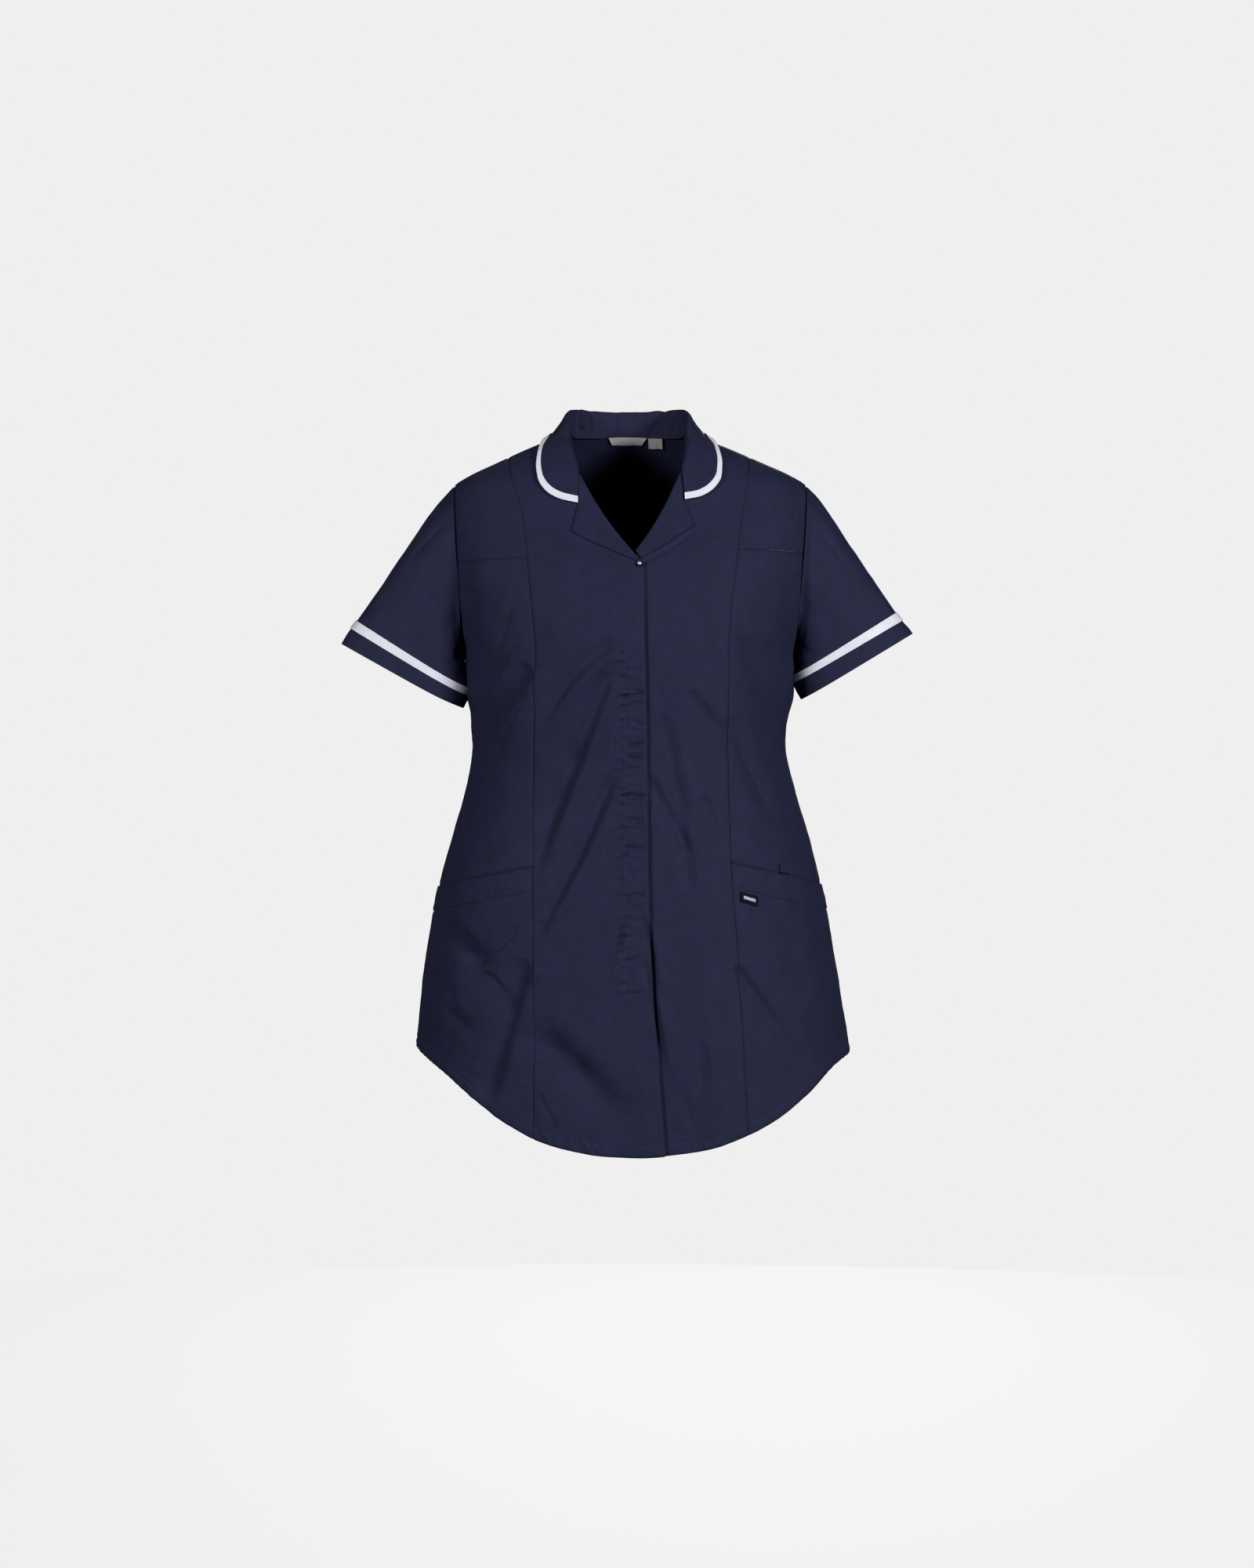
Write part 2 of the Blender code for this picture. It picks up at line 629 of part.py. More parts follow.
def chest_seam(side):
    """The short seam across a side front."""
    princess_drop, armhole_drop = CHEST_SEAM_DROP[side]
    start = princess_run(side, princess_drop, princess_drop, 1)[0]
    end = on_side(side, armhole(np.array(armhole_share(armhole_drop))))
    return between(start, end, SIDE_COLUMNS)


def pocket_mouth(side):
    """The pocket's slanted mouth, straight from the princess seam to the side seam."""
    start_drop, end_drop = POCKET_MOUTH_DROP[side]
    start = (read(PRINCESS[side], "across", start_drop), start_drop)
    end = (form(np.array(side * QUARTER), np.array(end_drop))[0], end_drop)
    return places_at(between(start, end, SIDE_COLUMNS))


def side_upper_places(side):
    """The shoulder part of a side front, above the chest seam."""
    share = armhole_share(CHEST_SEAM_DROP[side][1])
    shoulder = side_seam(side, PRINCESS_TOP_DROP, SHOULDER_TIP_DROP, SIDE_COLUMNS)
    first = princess_seam(side)[: ARMHOLE_ROWS[0] + 1]
    last = armhole_run(side, 0, share, ARMHOLE_ROWS[0])
    return patch(shoulder, chest_seam(side), first, last)


def side_lower_places(side):
    """A side front below the chest seam: down to the pocket's mouth, then down to the hem."""
    share = armhole_share(CHEST_SEAM_DROP[side][1])
    mouth_end = POCKET_MOUTH_DROP[side][1]
    princess = princess_seam(side)[ARMHOLE_ROWS[0] :]
    split = ARMHOLE_ROWS[1] + SIDE_ROWS[0]
    mouth = pocket_mouth(side)
    hem = hem_run(princess[-1, 0], side * QUARTER, SIDE_COLUMNS)
    princess[-1] = hem[0]
    outer_seam = joined(
        armhole_run(side, share, 1, ARMHOLE_ROWS[1]),
        side_seam(side, UNDERARM_DROP, mouth_end, SIDE_ROWS[0]),
    )
    above = patch(chest_seam(side), mouth, princess[: split + 1], outer_seam)
    below = patch(
        mouth, hem, princess[split:], side_seam(side, mouth_end, hem[-1, 1], SIDE_ROWS[1])
    )
    return above, below


def back_places():
    """The back, in one piece from side seam to side seam."""
    shoulder_columns, neck_columns = BACK_COLUMNS
    share = np.linspace(0, 1, BACK_ARMHOLE_ROWS + 1)
    left = joined(
        armhole(share, behind=True),
        side_seam(LEFT, UNDERARM_DROP, hem_drop(QUARTER), BACK_SIDE_ROWS),
    )
    right_hem_drop = hem_drop(-QUARTER)
    right = joined(
        armhole(share, behind=True),
        side_seam(LEFT, UNDERARM_DROP, right_hem_drop, BACK_SIDE_ROWS),
    )
    right = right * np.array([-1.0, 1.0]) + np.array([2 * math.pi, 0.0])
    shoulder = side_seam(LEFT, SHOULDER_TIP_DROP, NECK_DROP, shoulder_columns)
    turns = np.linspace(QUARTER, 3 * QUARTER, neck_columns + 1)
    folded = math.pi - np.abs(turns - math.pi)
    neck = np.stack([turns, smooth(BACK_NECKLINE["turn"], BACK_NECKLINE["drop"], folded)], axis=-1)
    other_shoulder = shoulder[::-1] * np.array([-1.0, 1.0]) + np.array([2 * math.pi, 0.0])
    columns = 2 * shoulder_columns + neck_columns
    hem = hem_run(QUARTER, 3 * QUARTER, columns)
    hem[0, 1], hem[-1, 1] = left[-1, 1], right_hem_drop
    return patch(joined(shoulder, neck, other_shoulder), hem, left, right)


def build_body(navy):
    """Fronts, side fronts, pockets and back."""
    for word, side in SIDES.items():
        places = front_places(side)
        panel(f"front_{word}", navy, places, lap_lift(side, places))
        panel(f"side_front_upper_{word}", navy, side_upper_places(side))
        above, below = side_lower_places(side)
        sink = np.zeros(above.shape[:2])
        sink[-1] = -ON_PANEL
        whole = np.concatenate([above, below[1:]])
        lift = np.concatenate([sink, np.full((len(below) - 1, below.shape[1]), -ON_PANEL)])
        panel(f"side_front_lower_{word}", navy, whole, lift)
        u = np.linspace(0, 1, below.shape[1])[None, :]
        v = np.linspace(0, 1, below.shape[0])[:, None]
        gape = POCKET_GAPE * np.sin(math.pi * u) * np.clip(1 - POCKET_GAPE_FADE * v, 0, 1)
        panel(f"pocket_{word}", navy, below, gape)
    panel("back", navy, back_places())


# Sleeves

def armhole_loop(side):
    """The armhole as a loop of points: down its front from the shoulder tip, and up its back."""
    share = armhole_share(CHEST_SEAM_DROP[side][1])
    front = joined(
        np.linspace(0, share, ARMHOLE_ROWS[0] + 1)[:, None],
        np.linspace(share, 1, ARMHOLE_ROWS[1] + 1)[:, None],
    )[:, 0]
    back = np.linspace(1, 0, BACK_ARMHOLE_ROWS + 1)[1:-1]
    places = np.concatenate([armhole(front), armhole(back, behind=True)])
    phases = math.pi * np.concatenate([front, 2 - back])
    return on_side(side, places), phases


def sleeve_rings(side):
    """Rings of points from the armhole to the cuff."""
    places, phases = armhole_loop(side)
    power = 2 / SLEEVE_ROUNDNESS
    cosine = np.sign(np.cos(phases)) * np.abs(np.cos(phases)) ** power
    sine = np.sign(np.sin(phases)) * np.abs(np.sin(phases)) ** power
    rows = SLEEVE[side]
    rings = []
    last = len(rows["outer"]) - 1
    for i in range(last + 1):
        outer = np.array([side * rows["outer"][i], 0.0, -rows["outer_drop"][i]])
        inner = np.array([side * rows["inner"][i], 0.0, -rows["inner_drop"][i]])
        middle = (outer + inner) / 2 - np.array([0.0, rows["forward"][i], 0.0])
        depth = np.where(sine > 0, rows["front"][i], rows["back"][i])
        ring = middle + cosine[:, None] * (outer - inner) / 2
        ring[:, 1] -= depth * sine
        ring[:, 2] += np.where(sine < 0, -sine, 0) * CUFF_BACK_RISE * i / last
        rings.append(ring)
    start = on_form(places)
    step = rings[0] - start
    step /= np.linalg.norm(step, axis=-1, keepdims=True)
    start = start + SLEEVE_START * step
    return np.stack([start] + rings)


def ring_at(rings, position):
    """A ring between two of a sleeve's rings."""
    index = min(int(position), len(rings) - 2)
    share = position - index
    return (1 - share) * rings[index] + share * rings[index + 1]


def build_sleeves(navy, white):
    """Set-in sleeves and the tape round each cuff."""
    for word, side in SIDES.items():
        rings = sleeve_rings(side)
        normals = -side * grid_normals(rings, ring=True)
        build_wall(f"sleeve_{word}", navy, rings, rings - CLOTH * normals, ring=True)
        start, end = TAPE_RINGS[side]
        band = np.stack([ring_at(rings, 1 + p) for p in np.linspace(start, end, 3)])
        out = np.stack([ring_at(normals, 1 + p) for p in np.linspace(start, end, 3)])
        inside = band + 2 * SEAM_GAP * out
        build_wall(f"sleeve_tape_{word}", white, inside + TAPE * out, inside, ring=True)


# Collar and lapels

def clear_of_body(points, lift):
    """Moves points out until they stand at least a lift off the form."""
    def level(p):
        drop = -p[..., 2]
        wide = np.abs(p[..., 0] - read(BODY, "centre", drop)) / read(BODY, "half_width", drop)
        deep = np.where(p[..., 1] < 0, read(BODY, "front", drop), read(BODY, "back", drop))
        return (wide**ROUNDNESS + (np.abs(p[..., 1]) / deep) ** ROUNDNESS) ** (1 / ROUNDNESS)

    probe = 0.0005
    for _ in range(6):
        slope = np.stack(
            [(level(points + probe * e) - level(points - probe * e)) / (2 * probe) for e in np.eye(3)],
            axis=-1,
        )
        steep = np.linalg.norm(slope, axis=-1)
        short = np.clip(lift - (level(points) - 1) / steep, 0, None)
        points = points + slope * (short / steep)[..., None]
    return points


def unit(vectors):
    return vectors / np.linalg.norm(vectors, axis=-1, keepdims=True)


def collar_half(side):
    """Sections of the collar from the centre back to a gorge: seam, stand, fold, fall, edge."""
    def spot(name):
        drop = COLLAR[f"{name}_drop"]
        centre = read(BODY, "centre", np.maximum(drop, 0))
        across = centre + side * COLLAR[f"{name}_across"]
        return np.stack([across, COLLAR[f"{name}_deep"], -drop], axis=-1)

    turns = np.radians(COLLAR["seam_turn"])
    seam = form(side * turns, neck_drop(turns))
    seam[:, :2] *= 1 - COLLAR_SEAM_IN / np.linalg.norm(seam[:, :2], axis=-1, keepdims=True)
    seam[:, 2] -= COLLAR_SEAM_DOWN
    roll, edge = spot("roll"), spot("edge")
    edge += COLLAR_LONGER[side] * COLLAR["longer"][:, None] * unit(edge - roll)
    edge[-1] = on_form(places_at(LAPEL_NOTCH[side]), LAPEL_LIFT)
    radius = COLLAR["fold"][:, None]
    down_seam, down_edge = unit(seam - roll), unit(edge - roll)
    inward = unit(down_seam - down_edge)
    down = unit(down_seam + down_edge)
    fold_in = roll + radius * (down + inward)
    fold_out = roll + radius * (down - inward)
    stand = (seam + fold_in) / 2
    fall = [fold_out + share * (edge - fold_out) for share in COLLAR_FALL]
    fall = [clear_of_body(points, COLLAR["clear"] + CLOTH) for points in fall]
    gorge = between(roll_line(side, 0, LAPEL_FOLD), LAPEL_NOTCH[side], len(fall) - 1)
    for points, end in zip(fall, on_form(places_at(gorge), LAPEL_LIFT)):
        points[-1] = end
    return np.stack([seam, stand, fold_in, roll] + fall)


def collar_points():
    """The whole collar: sections as rows, from the right gorge round the back to the left one."""
    right, left = collar_half(RIGHT), collar_half(LEFT)
    return np.concatenate([right[:, ::-1], left[:, 1:]], axis=1)


def build_collar(navy, white):
    """The collar in one folded piece, and the tape along its edge."""
    points = trim(collar_points(), GORGE_GAP, axes=(1,))
    normals = -grid_normals(points)
    build_wall("collar", navy, points, points - CLOTH * normals)
    edge, above = points[-1], points[-2]
    inset = edge + COLLAR_TAPE_WIDTH * unit(above - edge)
    out = normals[-1]
    strip = np.stack([inset, (inset + edge) / 2, edge]) + COLLAR_TAPE_LIFT * out
    build_wall("collar_tape", white, strip + TAPE * out, strip)


def build_lapels(navy):
    """Each lapel wraps the front's edge along the roll line and lies on the front."""
    for word, side in SIDES.items():
        rows = LAPEL_ROWS[side]
        shares = np.arange(rows + 1) / SHOULDER_ROWS[1]
        inside_far, inside_near, fold, first = (
            roll_line(side, shares, aside) for aside in (LAPEL_WRAP, LAPEL_FOLD, 0.0, LAPEL_FOLD)
        )
        notch, edge = LAPEL_NOTCH[side], LAPEL_EDGE[side]
        last = along((*edge, LAPEL_END[side]), rows)
        top = joined(between(first[0], notch, LAPEL_COLUMNS[0]), between(notch, edge[0], LAPEL_COLUMNS[1]))
        face = patch(top, between(first[-1], LAPEL_END[side], sum(LAPEL_COLUMNS)), first, last)
        grid = np.stack([inside_far, inside_near, fold], axis=1)
        places = places_at(np.concatenate([grid, face], axis=1))
        lift = np.full(places.shape[:2], LAPEL_LIFT)
        lift[:, :2] = LAPEL_INSIDE
        lift[:, 2] = (LAPEL_INSIDE + LAPEL_LIFT) / 2
        points = trim(on_form(places, lift + lap_lift(side, places)), GORGE_GAP, axes=(0,))
        normals = outward(places[..., 0], places[..., 1])
        normals[:, :2] *= -1
        normals[:, 2] = unit(points[:, 2] - (points[:, 1] + points[:, 3]) / 2)
        build_wall(f"lapel_{word}", navy, points, points - CLOTH * normals)


# Small pieces

def flat_piece(name, finish, corners, lift, thickness, behind=False):
    """A small flat piece between four corners (across, drop): top pair, then bottom pair."""
    (top_start, top_end), (low_start, low_end) = corners
    columns, rows = LABEL_STEPS
    top, bottom = between(top_start, top_end, columns), between(low_start, low_end, columns)
    share = np.linspace(0, 1, rows + 1)[:, None, None]
    places = places_at((1 - share) * top[None] + share * bottom[None], behind)
    panel(name, finish, places, lift + thickness, thickness, seam_gap=False)


def build_labels(navy, white, cream):
    """Blank labels at the neck and on the pocket, and the small tab above the pocket's mouth."""
    inside = -(CLOTH + LABEL_CLEAR + LABEL)
    for name, finish, sizes in (("neck_label", white, NECK_LABEL), ("size_label", cream, SIZE_LABEL)):
        (top_start, top_end), (low_start, low_end), top_drop, low_drop = sizes
        corners = (
            ((top_start, top_drop), (top_end, top_drop)),
            ((low_start, low_drop), (low_end, low_drop)),
        )
        flat_piece(name, finish, corners, inside, LABEL, behind=True)
    for name, finish, (start, end), height, lift in (
        ("pocket_label", navy, POCKET_LABEL, POCKET_LABEL_HEIGHT, POCKET_LABEL_LIFT),
        ("pocket_tab", navy, POCKET_TAB, POCKET_TAB_HEIGHT, 2 * SEAM_GAP),
    ):
        low = [(across, drop + height) for across, drop in (start, end)]
        flat_piece(name, finish, ((start, end), low), lift, LABEL)


def build_stud(steel):
    """The press stud at the break point, turned about its own axis and set square on the front."""
    places = places_at(np.array([STUD_PLACE]))
    out = outward(places[:, 0], places[:, 1])[0]
    seat = on_form(places, LAPEL_LIFT + SEAM_GAP)[0]
    bm = bmesh.new()
    profile = ((0.0, 0.0), *STUD_PROFILE, (0.0, STUD_HEIGHT))
    verts = [bm.verts.new((radius, 0.0, height)) for radius, height in profile]
    for start, end in zip(verts, verts[1:]):
        bm.edges.new((start, end))
    bmesh.ops.spin(
        bm, geom=bm.verts[:] + bm.edges[:], cent=(0, 0, 0), axis=(0, 0, 1),
        angle=math.tau, steps=STUD_STEPS, use_merge=True,
    )
    bmesh.ops.remove_doubles(bm, verts=bm.verts, dist=1e-6)
    bmesh.ops.recalc_face_normals(bm, faces=bm.faces)
    mesh = bpy.data.meshes.new("press_stud")
    bm.to_mesh(mesh)
    bm.free()
    mesh.materials.append(steel)
    obj = bpy.data.objects.new("press_stud", mesh)
    obj.location = seat
    obj.rotation_mode = "QUATERNION"
    obj.rotation_quaternion = Vector(out).to_track_quat("Z", "Y")
    bpy.context.scene.collection.objects.link(obj)


def main():
    for obj in list(bpy.data.objects):
        bpy.data.objects.remove(obj, do_unlink=True)
    navy = material("navy_poplin", NAVY, 0.8)
    white = material("white_tape", WHITE, 0.7)
    cream = material("cream_label", CREAM, 0.7)
    steel = material("stud_metal", STEEL, 0.3, 1.0)
    build_body(navy)
    build_sleeves(navy, white)
    build_collar(navy, white)
    build_lapels(navy)
    build_labels(navy, white, cream)
    build_stud(steel)


main()
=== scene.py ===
"""Maternity tunic: the cloth, sewing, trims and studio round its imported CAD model.

Every shell of cloth lies on the same form as its solid. A place on the form is a turn round the body,
which is 0 at the centre front, +90 degrees at the wearer's left side seam and 180 at the centre back,
and a drop below the neck point. The front faces -Y, the wearer's left is +X. Sizes are in metres, and
in the tables of creases in millimetres.
"""

import math

import bmesh
import bpy
import numpy as np
from mathutils import Matrix, Vector


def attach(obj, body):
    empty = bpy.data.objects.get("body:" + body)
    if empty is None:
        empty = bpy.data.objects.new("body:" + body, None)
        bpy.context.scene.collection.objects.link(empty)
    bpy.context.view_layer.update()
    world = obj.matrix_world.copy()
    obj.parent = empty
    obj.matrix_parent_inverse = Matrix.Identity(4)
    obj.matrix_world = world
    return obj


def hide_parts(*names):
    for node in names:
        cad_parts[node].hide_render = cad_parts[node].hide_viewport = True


bl_info = {
    "name": "Maternity tunic",
    "version": (1, 0, 0),
    "blender": (4, 5, 0),
    "location": "View3D > Sidebar > Tunic",
    "description": "Sews a short-sleeved maternity tunic with taped collar and cuffs",
    "category": "Object",
}

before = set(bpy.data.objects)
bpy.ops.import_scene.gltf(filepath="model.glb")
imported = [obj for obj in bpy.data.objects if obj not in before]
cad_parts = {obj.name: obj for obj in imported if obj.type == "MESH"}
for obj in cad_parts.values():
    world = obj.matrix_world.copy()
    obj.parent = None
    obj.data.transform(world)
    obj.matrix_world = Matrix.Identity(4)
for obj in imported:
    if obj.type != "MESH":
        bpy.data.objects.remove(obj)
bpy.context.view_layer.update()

MM = 0.001

# Gaps and thicknesses: the cloth of the scene and of the solids, a label, and the tab's two layers
CLOTH = 0.0009
SOLID_CLOTH = 0.0012
LABEL = 0.0007
TAB = 0.0018
SEAM_GAP = 0.0003
SEAM_TRIM = SEAM_GAP / 2 + 0.00005
# How far the back reaches past its side seams, so that no light shows through them
BACK_REACH = 0.00017

# How far the cloth under a pocket and the front that is lapped under lie off the form, and between
# which places across the second one comes back to it
UNDER_POCKET = -0.0019
UNDER_LAP = -0.0032
LAP_FADE = (0.045, 0.095)

# Roundness of the body's cross sections: 2 is an ellipse, more is squarer
ROUNDNESS = 2.25
SLEEVE_ROUNDNESS = 2.3

# Key levels, as drops below the neck point
NECK_DROP = 0.004
SHOULDER_TIP_DROP = 0.0657
UNDERARM_DROP = 0.262
HEM_DROP = 0.8198

RIGHT, LEFT = -1, 1
SIDES = {"right": RIGHT, "left": LEFT}
QUARTER = math.pi / 2


def table(names, *rows):
    """A short table as named columns."""
    return dict(zip(names.split(), (np.array(values) for values in zip(*rows))))


BODY = table(
    "drop half_width centre front back",
    (0.0000, 0.0615, 0.0000, 0.0620, 0.0705),
    (0.0040, 0.0676, 0.0000, 0.0650, 0.0725),
    (0.0261, 0.1206, 0.0010, 0.0760, 0.0840),
    (0.0405, 0.1530, 0.0020, 0.0820, 0.0910),
    (0.0549, 0.1845, 0.0027, 0.0880, 0.0970),
    (0.0657, 0.2015, 0.0030, 0.0930, 0.1010),
    (0.0750, 0.2085, 0.0030, 0.0970, 0.1040),
    (0.0900, 0.2135, 0.0030, 0.1020, 0.1090),
    (0.1200, 0.2155, 0.0028, 0.1145, 0.1165),
    (0.1600, 0.2130, 0.0025, 0.1310, 0.1200),
    (0.2000, 0.2055, 0.0023, 0.1430, 0.1190),
    (0.2300, 0.1970, 0.0020, 0.1480, 0.1170),
    (0.2620, 0.1865, 0.0018, 0.1515, 0.1140),
    (0.3000, 0.1820, 0.0018, 0.1520, 0.1090),
    (0.3450, 0.1805, 0.0014, 0.1500, 0.1030),
    (0.3670, 0.1800, 0.0016, 0.1490, 0.1010),
    (0.4120, 0.1880, 0.0024, 0.1490, 0.1030),
    (0.4570, 0.2010, 0.0030, 0.1520, 0.1090),
    (0.5250, 0.2195, 0.0026, 0.1580, 0.1170),
    (0.5920, 0.2322, 0.0026, 0.1625, 0.1235),
    (0.6600, 0.2421, 0.0040, 0.1660, 0.1280),
    (0.7050, 0.2475, 0.0054, 0.1675, 0.1300),
    (0.8400, 0.2620, 0.0054, 0.1680, 0.1350),
)

# Across are distances from the body's centre line
ARMHOLE = table(
    "drop across",
    (0.0657, 0.2015),
    (0.0750, 0.2008),
    (0.0900, 0.2000),
    (0.1150, 0.1985),
    (0.1570, 0.1958),
    (0.2000, 0.1928),
    (0.2350, 0.1903),
    (0.2620, 0.1865),
)
NECKLINE = table(
    "drop across",
    (0.0040, 0.0676),
    (0.0110, 0.0676),
    (0.0180, 0.0676),
    (0.0250, 0.0665),
    (0.0360, 0.0643),
    (0.0462, 0.0617),
    (0.0600, 0.0592),
)
BACK_NECKLINE = table(
    "turn drop",
    (math.radians(90), 0.0040),
    (math.radians(115), 0.0054),
    (math.radians(140), 0.0040),
    (math.radians(180), 0.0004),
)

# The long seams down the front, from shoulder to hem, in places across the whole front
PRINCESS = {
    RIGHT: table(
        "drop across",
        (0.0330, -0.1360),
        (0.0533, -0.1338),
        (0.0999, -0.1205),
        (0.1550, -0.1130),
        (0.2771, -0.1045),
        (0.5007, -0.1065),
        (0.7105, -0.1047),
        (0.7930, -0.1047),
    ),
    LEFT: table(
        "drop across",
        (0.0330, 0.1385),
        (0.0583, 0.1362),
        (0.1000, 0.1295),
        (0.1441, 0.1239),
        (0.2334, 0.1145),
        (0.3641, 0.1125),
        (0.4964, 0.1150),
        (0.6028, 0.1227),
        (0.7108, 0.1290),
        (0.7930, 0.1340),
    ),
}
PRINCESS_TOP_DROP = 0.0336
PRINCESS_HEM_DROP = {RIGHT: 0.7990, LEFT: 0.7955}
CHEST_SEAM_DROP = {RIGHT: (0.1550, 0.1572), LEFT: (0.1441, 0.1465)}
POCKET_MOUTH_DROP = {RIGHT: (0.5007, 0.5245), LEFT: (0.4964, 0.5222)}

# Front edge of the right front, which laps over the left one by LAP
FRONT_EDGE = table(
    "drop across",
    (0.1590, 0.0140),
    (0.1650, 0.0182),
    (0.2169, 0.0180),
    (0.3211, 0.0199),
    (0.4510, 0.0216),
    (0.5373, 0.0229),
    (0.6020, 0.0259),
    (0.6880, 0.0314),
    (0.7742, 0.0379),
    (0.8300, 0.0423),
)
LAP = 0.036
EDGE_CORNER_DROP = 0.1650

# Roll lines of the lapels, from the gorge to the break point, their bow toward the front, and how far
# the fronts stop short of them
ROLL_TOP = {RIGHT: (-0.0534, 0.0600), LEFT: (0.0588, 0.0560)}
ROLL_END = {RIGHT: (0.0129, 0.1572), LEFT: (-0.0030, 0.1617)}
ROLL_BOW = {RIGHT: 0.0043, LEFT: 0.0050}
ROLL_SHY = 0.0032

# Outer edge of each lapel, as (across, drop): notch, tip, along the lower edge
LAPEL_NOTCH = {RIGHT: (-0.0550, 0.0941), LEFT: (0.0633, 0.0900)}
LAPEL_EDGE = {
    RIGHT: ((-0.0621, 0.1257), (-0.0475, 0.1345), (-0.0332, 0.1413), (-0.0125, 0.1505), (0.0049, 0.1578)),
    LEFT: ((0.0742, 0.1181), (0.0603, 0.1272), (0.0470, 0.1360), (0.0330, 0.1452)),
}
LAPEL_END = {RIGHT: (0.0098, 0.1603), LEFT: (0.0146, 0.1556)}
LAPEL_ROWS = {RIGHT: 35, LEFT: 30}
LAPEL_COLUMNS = (20, 14)
LAPEL_WRAP = 0.010
LAPEL_FOLD = 0.0022
LAPEL_INSIDE = -(2 * CLOTH + 2 * SEAM_GAP)
LAPEL_LIFT = 0.0020
GORGE_GAP = 0.0005

# Rise of the hem over its lowest level, by the place across as a share of the half width
HEM = table(
    "share rise",
    (-1.00, 0.1130),
    (-0.83, 0.0862),
    (-0.68, 0.0577),
    (-0.53, 0.0333),
    (-0.39, 0.0163),
    (-0.26, 0.0073),
    (-0.12, 0.0016),
    (0.04, 0.0000),
    (0.21, 0.0040),
    (0.34, 0.0096),
    (0.48, 0.0217),
    (0.62, 0.0385),
    (0.77, 0.0652),
    (0.93, 0.0985),
    (1.00, 0.1060),
)

# Largest folds, as troughs of a depth and a half width between two places
FRONT_FOLDS = table(
    "across drop end_across end_drop half_width depth",
    (-0.014, 0.295, -0.057, 0.382, 0.014, 0.0030),
    (-0.057, 0.382, -0.100, 0.490, 0.016, 0.0034),
    (-0.014, 0.395, -0.053, 0.490, 0.013, 0.0026),
    (-0.053, 0.490, -0.098, 0.564, 0.014, 0.0026),
    (-0.105, 0.243, -0.161, 0.365, 0.018, 0.0026),
    (-0.204, 0.568, -0.168, 0.604, 0.014, 0.0024),
    (-0.122, 0.572, -0.168, 0.604, 0.014, 0.0026),
    (-0.168, 0.604, -0.135, 0.650, 0.014, 0.0026),
    (-0.109, 0.633, -0.152, 0.737, 0.020, 0.0036),
    (-0.100, 0.689, -0.018, 0.767, 0.022, 0.0040),
    (0.047, 0.334, 0.068, 0.464, 0.018, 0.0020),
    (0.138, 0.256, 0.172, 0.356, 0.016, 0.0024),
    (0.120, 0.352, 0.164, 0.442, 0.016, 0.0022),
    (0.129, 0.620, 0.190, 0.711, 0.014, 0.0024),
)
BACK_FOLDS = table(
    "across drop end_across end_drop half_width depth",
    (-0.040, 0.318, -0.135, 0.372, 0.018, 0.0036),
    (0.055, 0.325, 0.140, 0.392, 0.018, 0.0034),
    (-0.105, 0.395, 0.020, 0.425, 0.020, 0.0030),
    (-0.110, 0.560, -0.135, 0.780, 0.026, 0.0050),
    (0.070, 0.540, 0.088, 0.790, 0.028, 0.0052),
    (-0.022, 0.600, -0.016, 0.800, 0.024, 0.0040),
    (0.165, 0.580, 0.190, 0.740, 0.022, 0.0038),
)

FOLD_FADE = 4

# Rings down each sleeve from the armhole to the cuff: outer and inner fold, and depth before and behind
SLEEVE = {
    RIGHT: table(
        "outer outer_drop inner inner_drop forward front back",
        (0.2110, 0.0795, 0.1880, 0.2672, 0.000, 0.0560, 0.0520),
        (0.2300, 0.1025, 0.1882, 0.2740, 0.001, 0.0540, 0.0510),
        (0.2560, 0.1410, 0.1872, 0.2830, 0.004, 0.0500, 0.0480),
        (0.2830, 0.1815, 0.1856, 0.2920, 0.008, 0.0450, 0.0430),
        (0.3078, 0.2180, 0.1840, 0.2990, 0.012, 0.0400, 0.0390),
        (0.3185, 0.2330, 0.1905, 0.3095, 0.014, 0.0380, 0.0375),
        (0.3276, 0.2475, 0.1970, 0.3208, 0.015, 0.0370, 0.0360),
    ),
    LEFT: table(
        "outer outer_drop inner inner_drop forward front back",
        (0.2165, 0.0780, 0.1918, 0.2665, 0.000, 0.0560, 0.0520),
        (0.2340, 0.1017, 0.1918, 0.2725, 0.001, 0.0540, 0.0510),
        (0.2590, 0.1400, 0.1910, 0.2790, 0.004, 0.0500, 0.0480),
        (0.2848, 0.1785, 0.1898, 0.2835, 0.008, 0.0450, 0.0430),
        (0.3068, 0.2115, 0.1885, 0.2857, 0.012, 0.0400, 0.0390),
        (0.3162, 0.2240, 0.1930, 0.2960, 0.014, 0.0380, 0.0375),
        (0.3258, 0.2358, 0.2015, 0.3110, 0.015, 0.0370, 0.0360),
    ),
}
SLEEVE_START = 0.0010
CUFF_BACK_RISE = 0.006
TAPE_RINGS = {RIGHT: (4.17, 4.80), LEFT: (4.02, 4.74)}

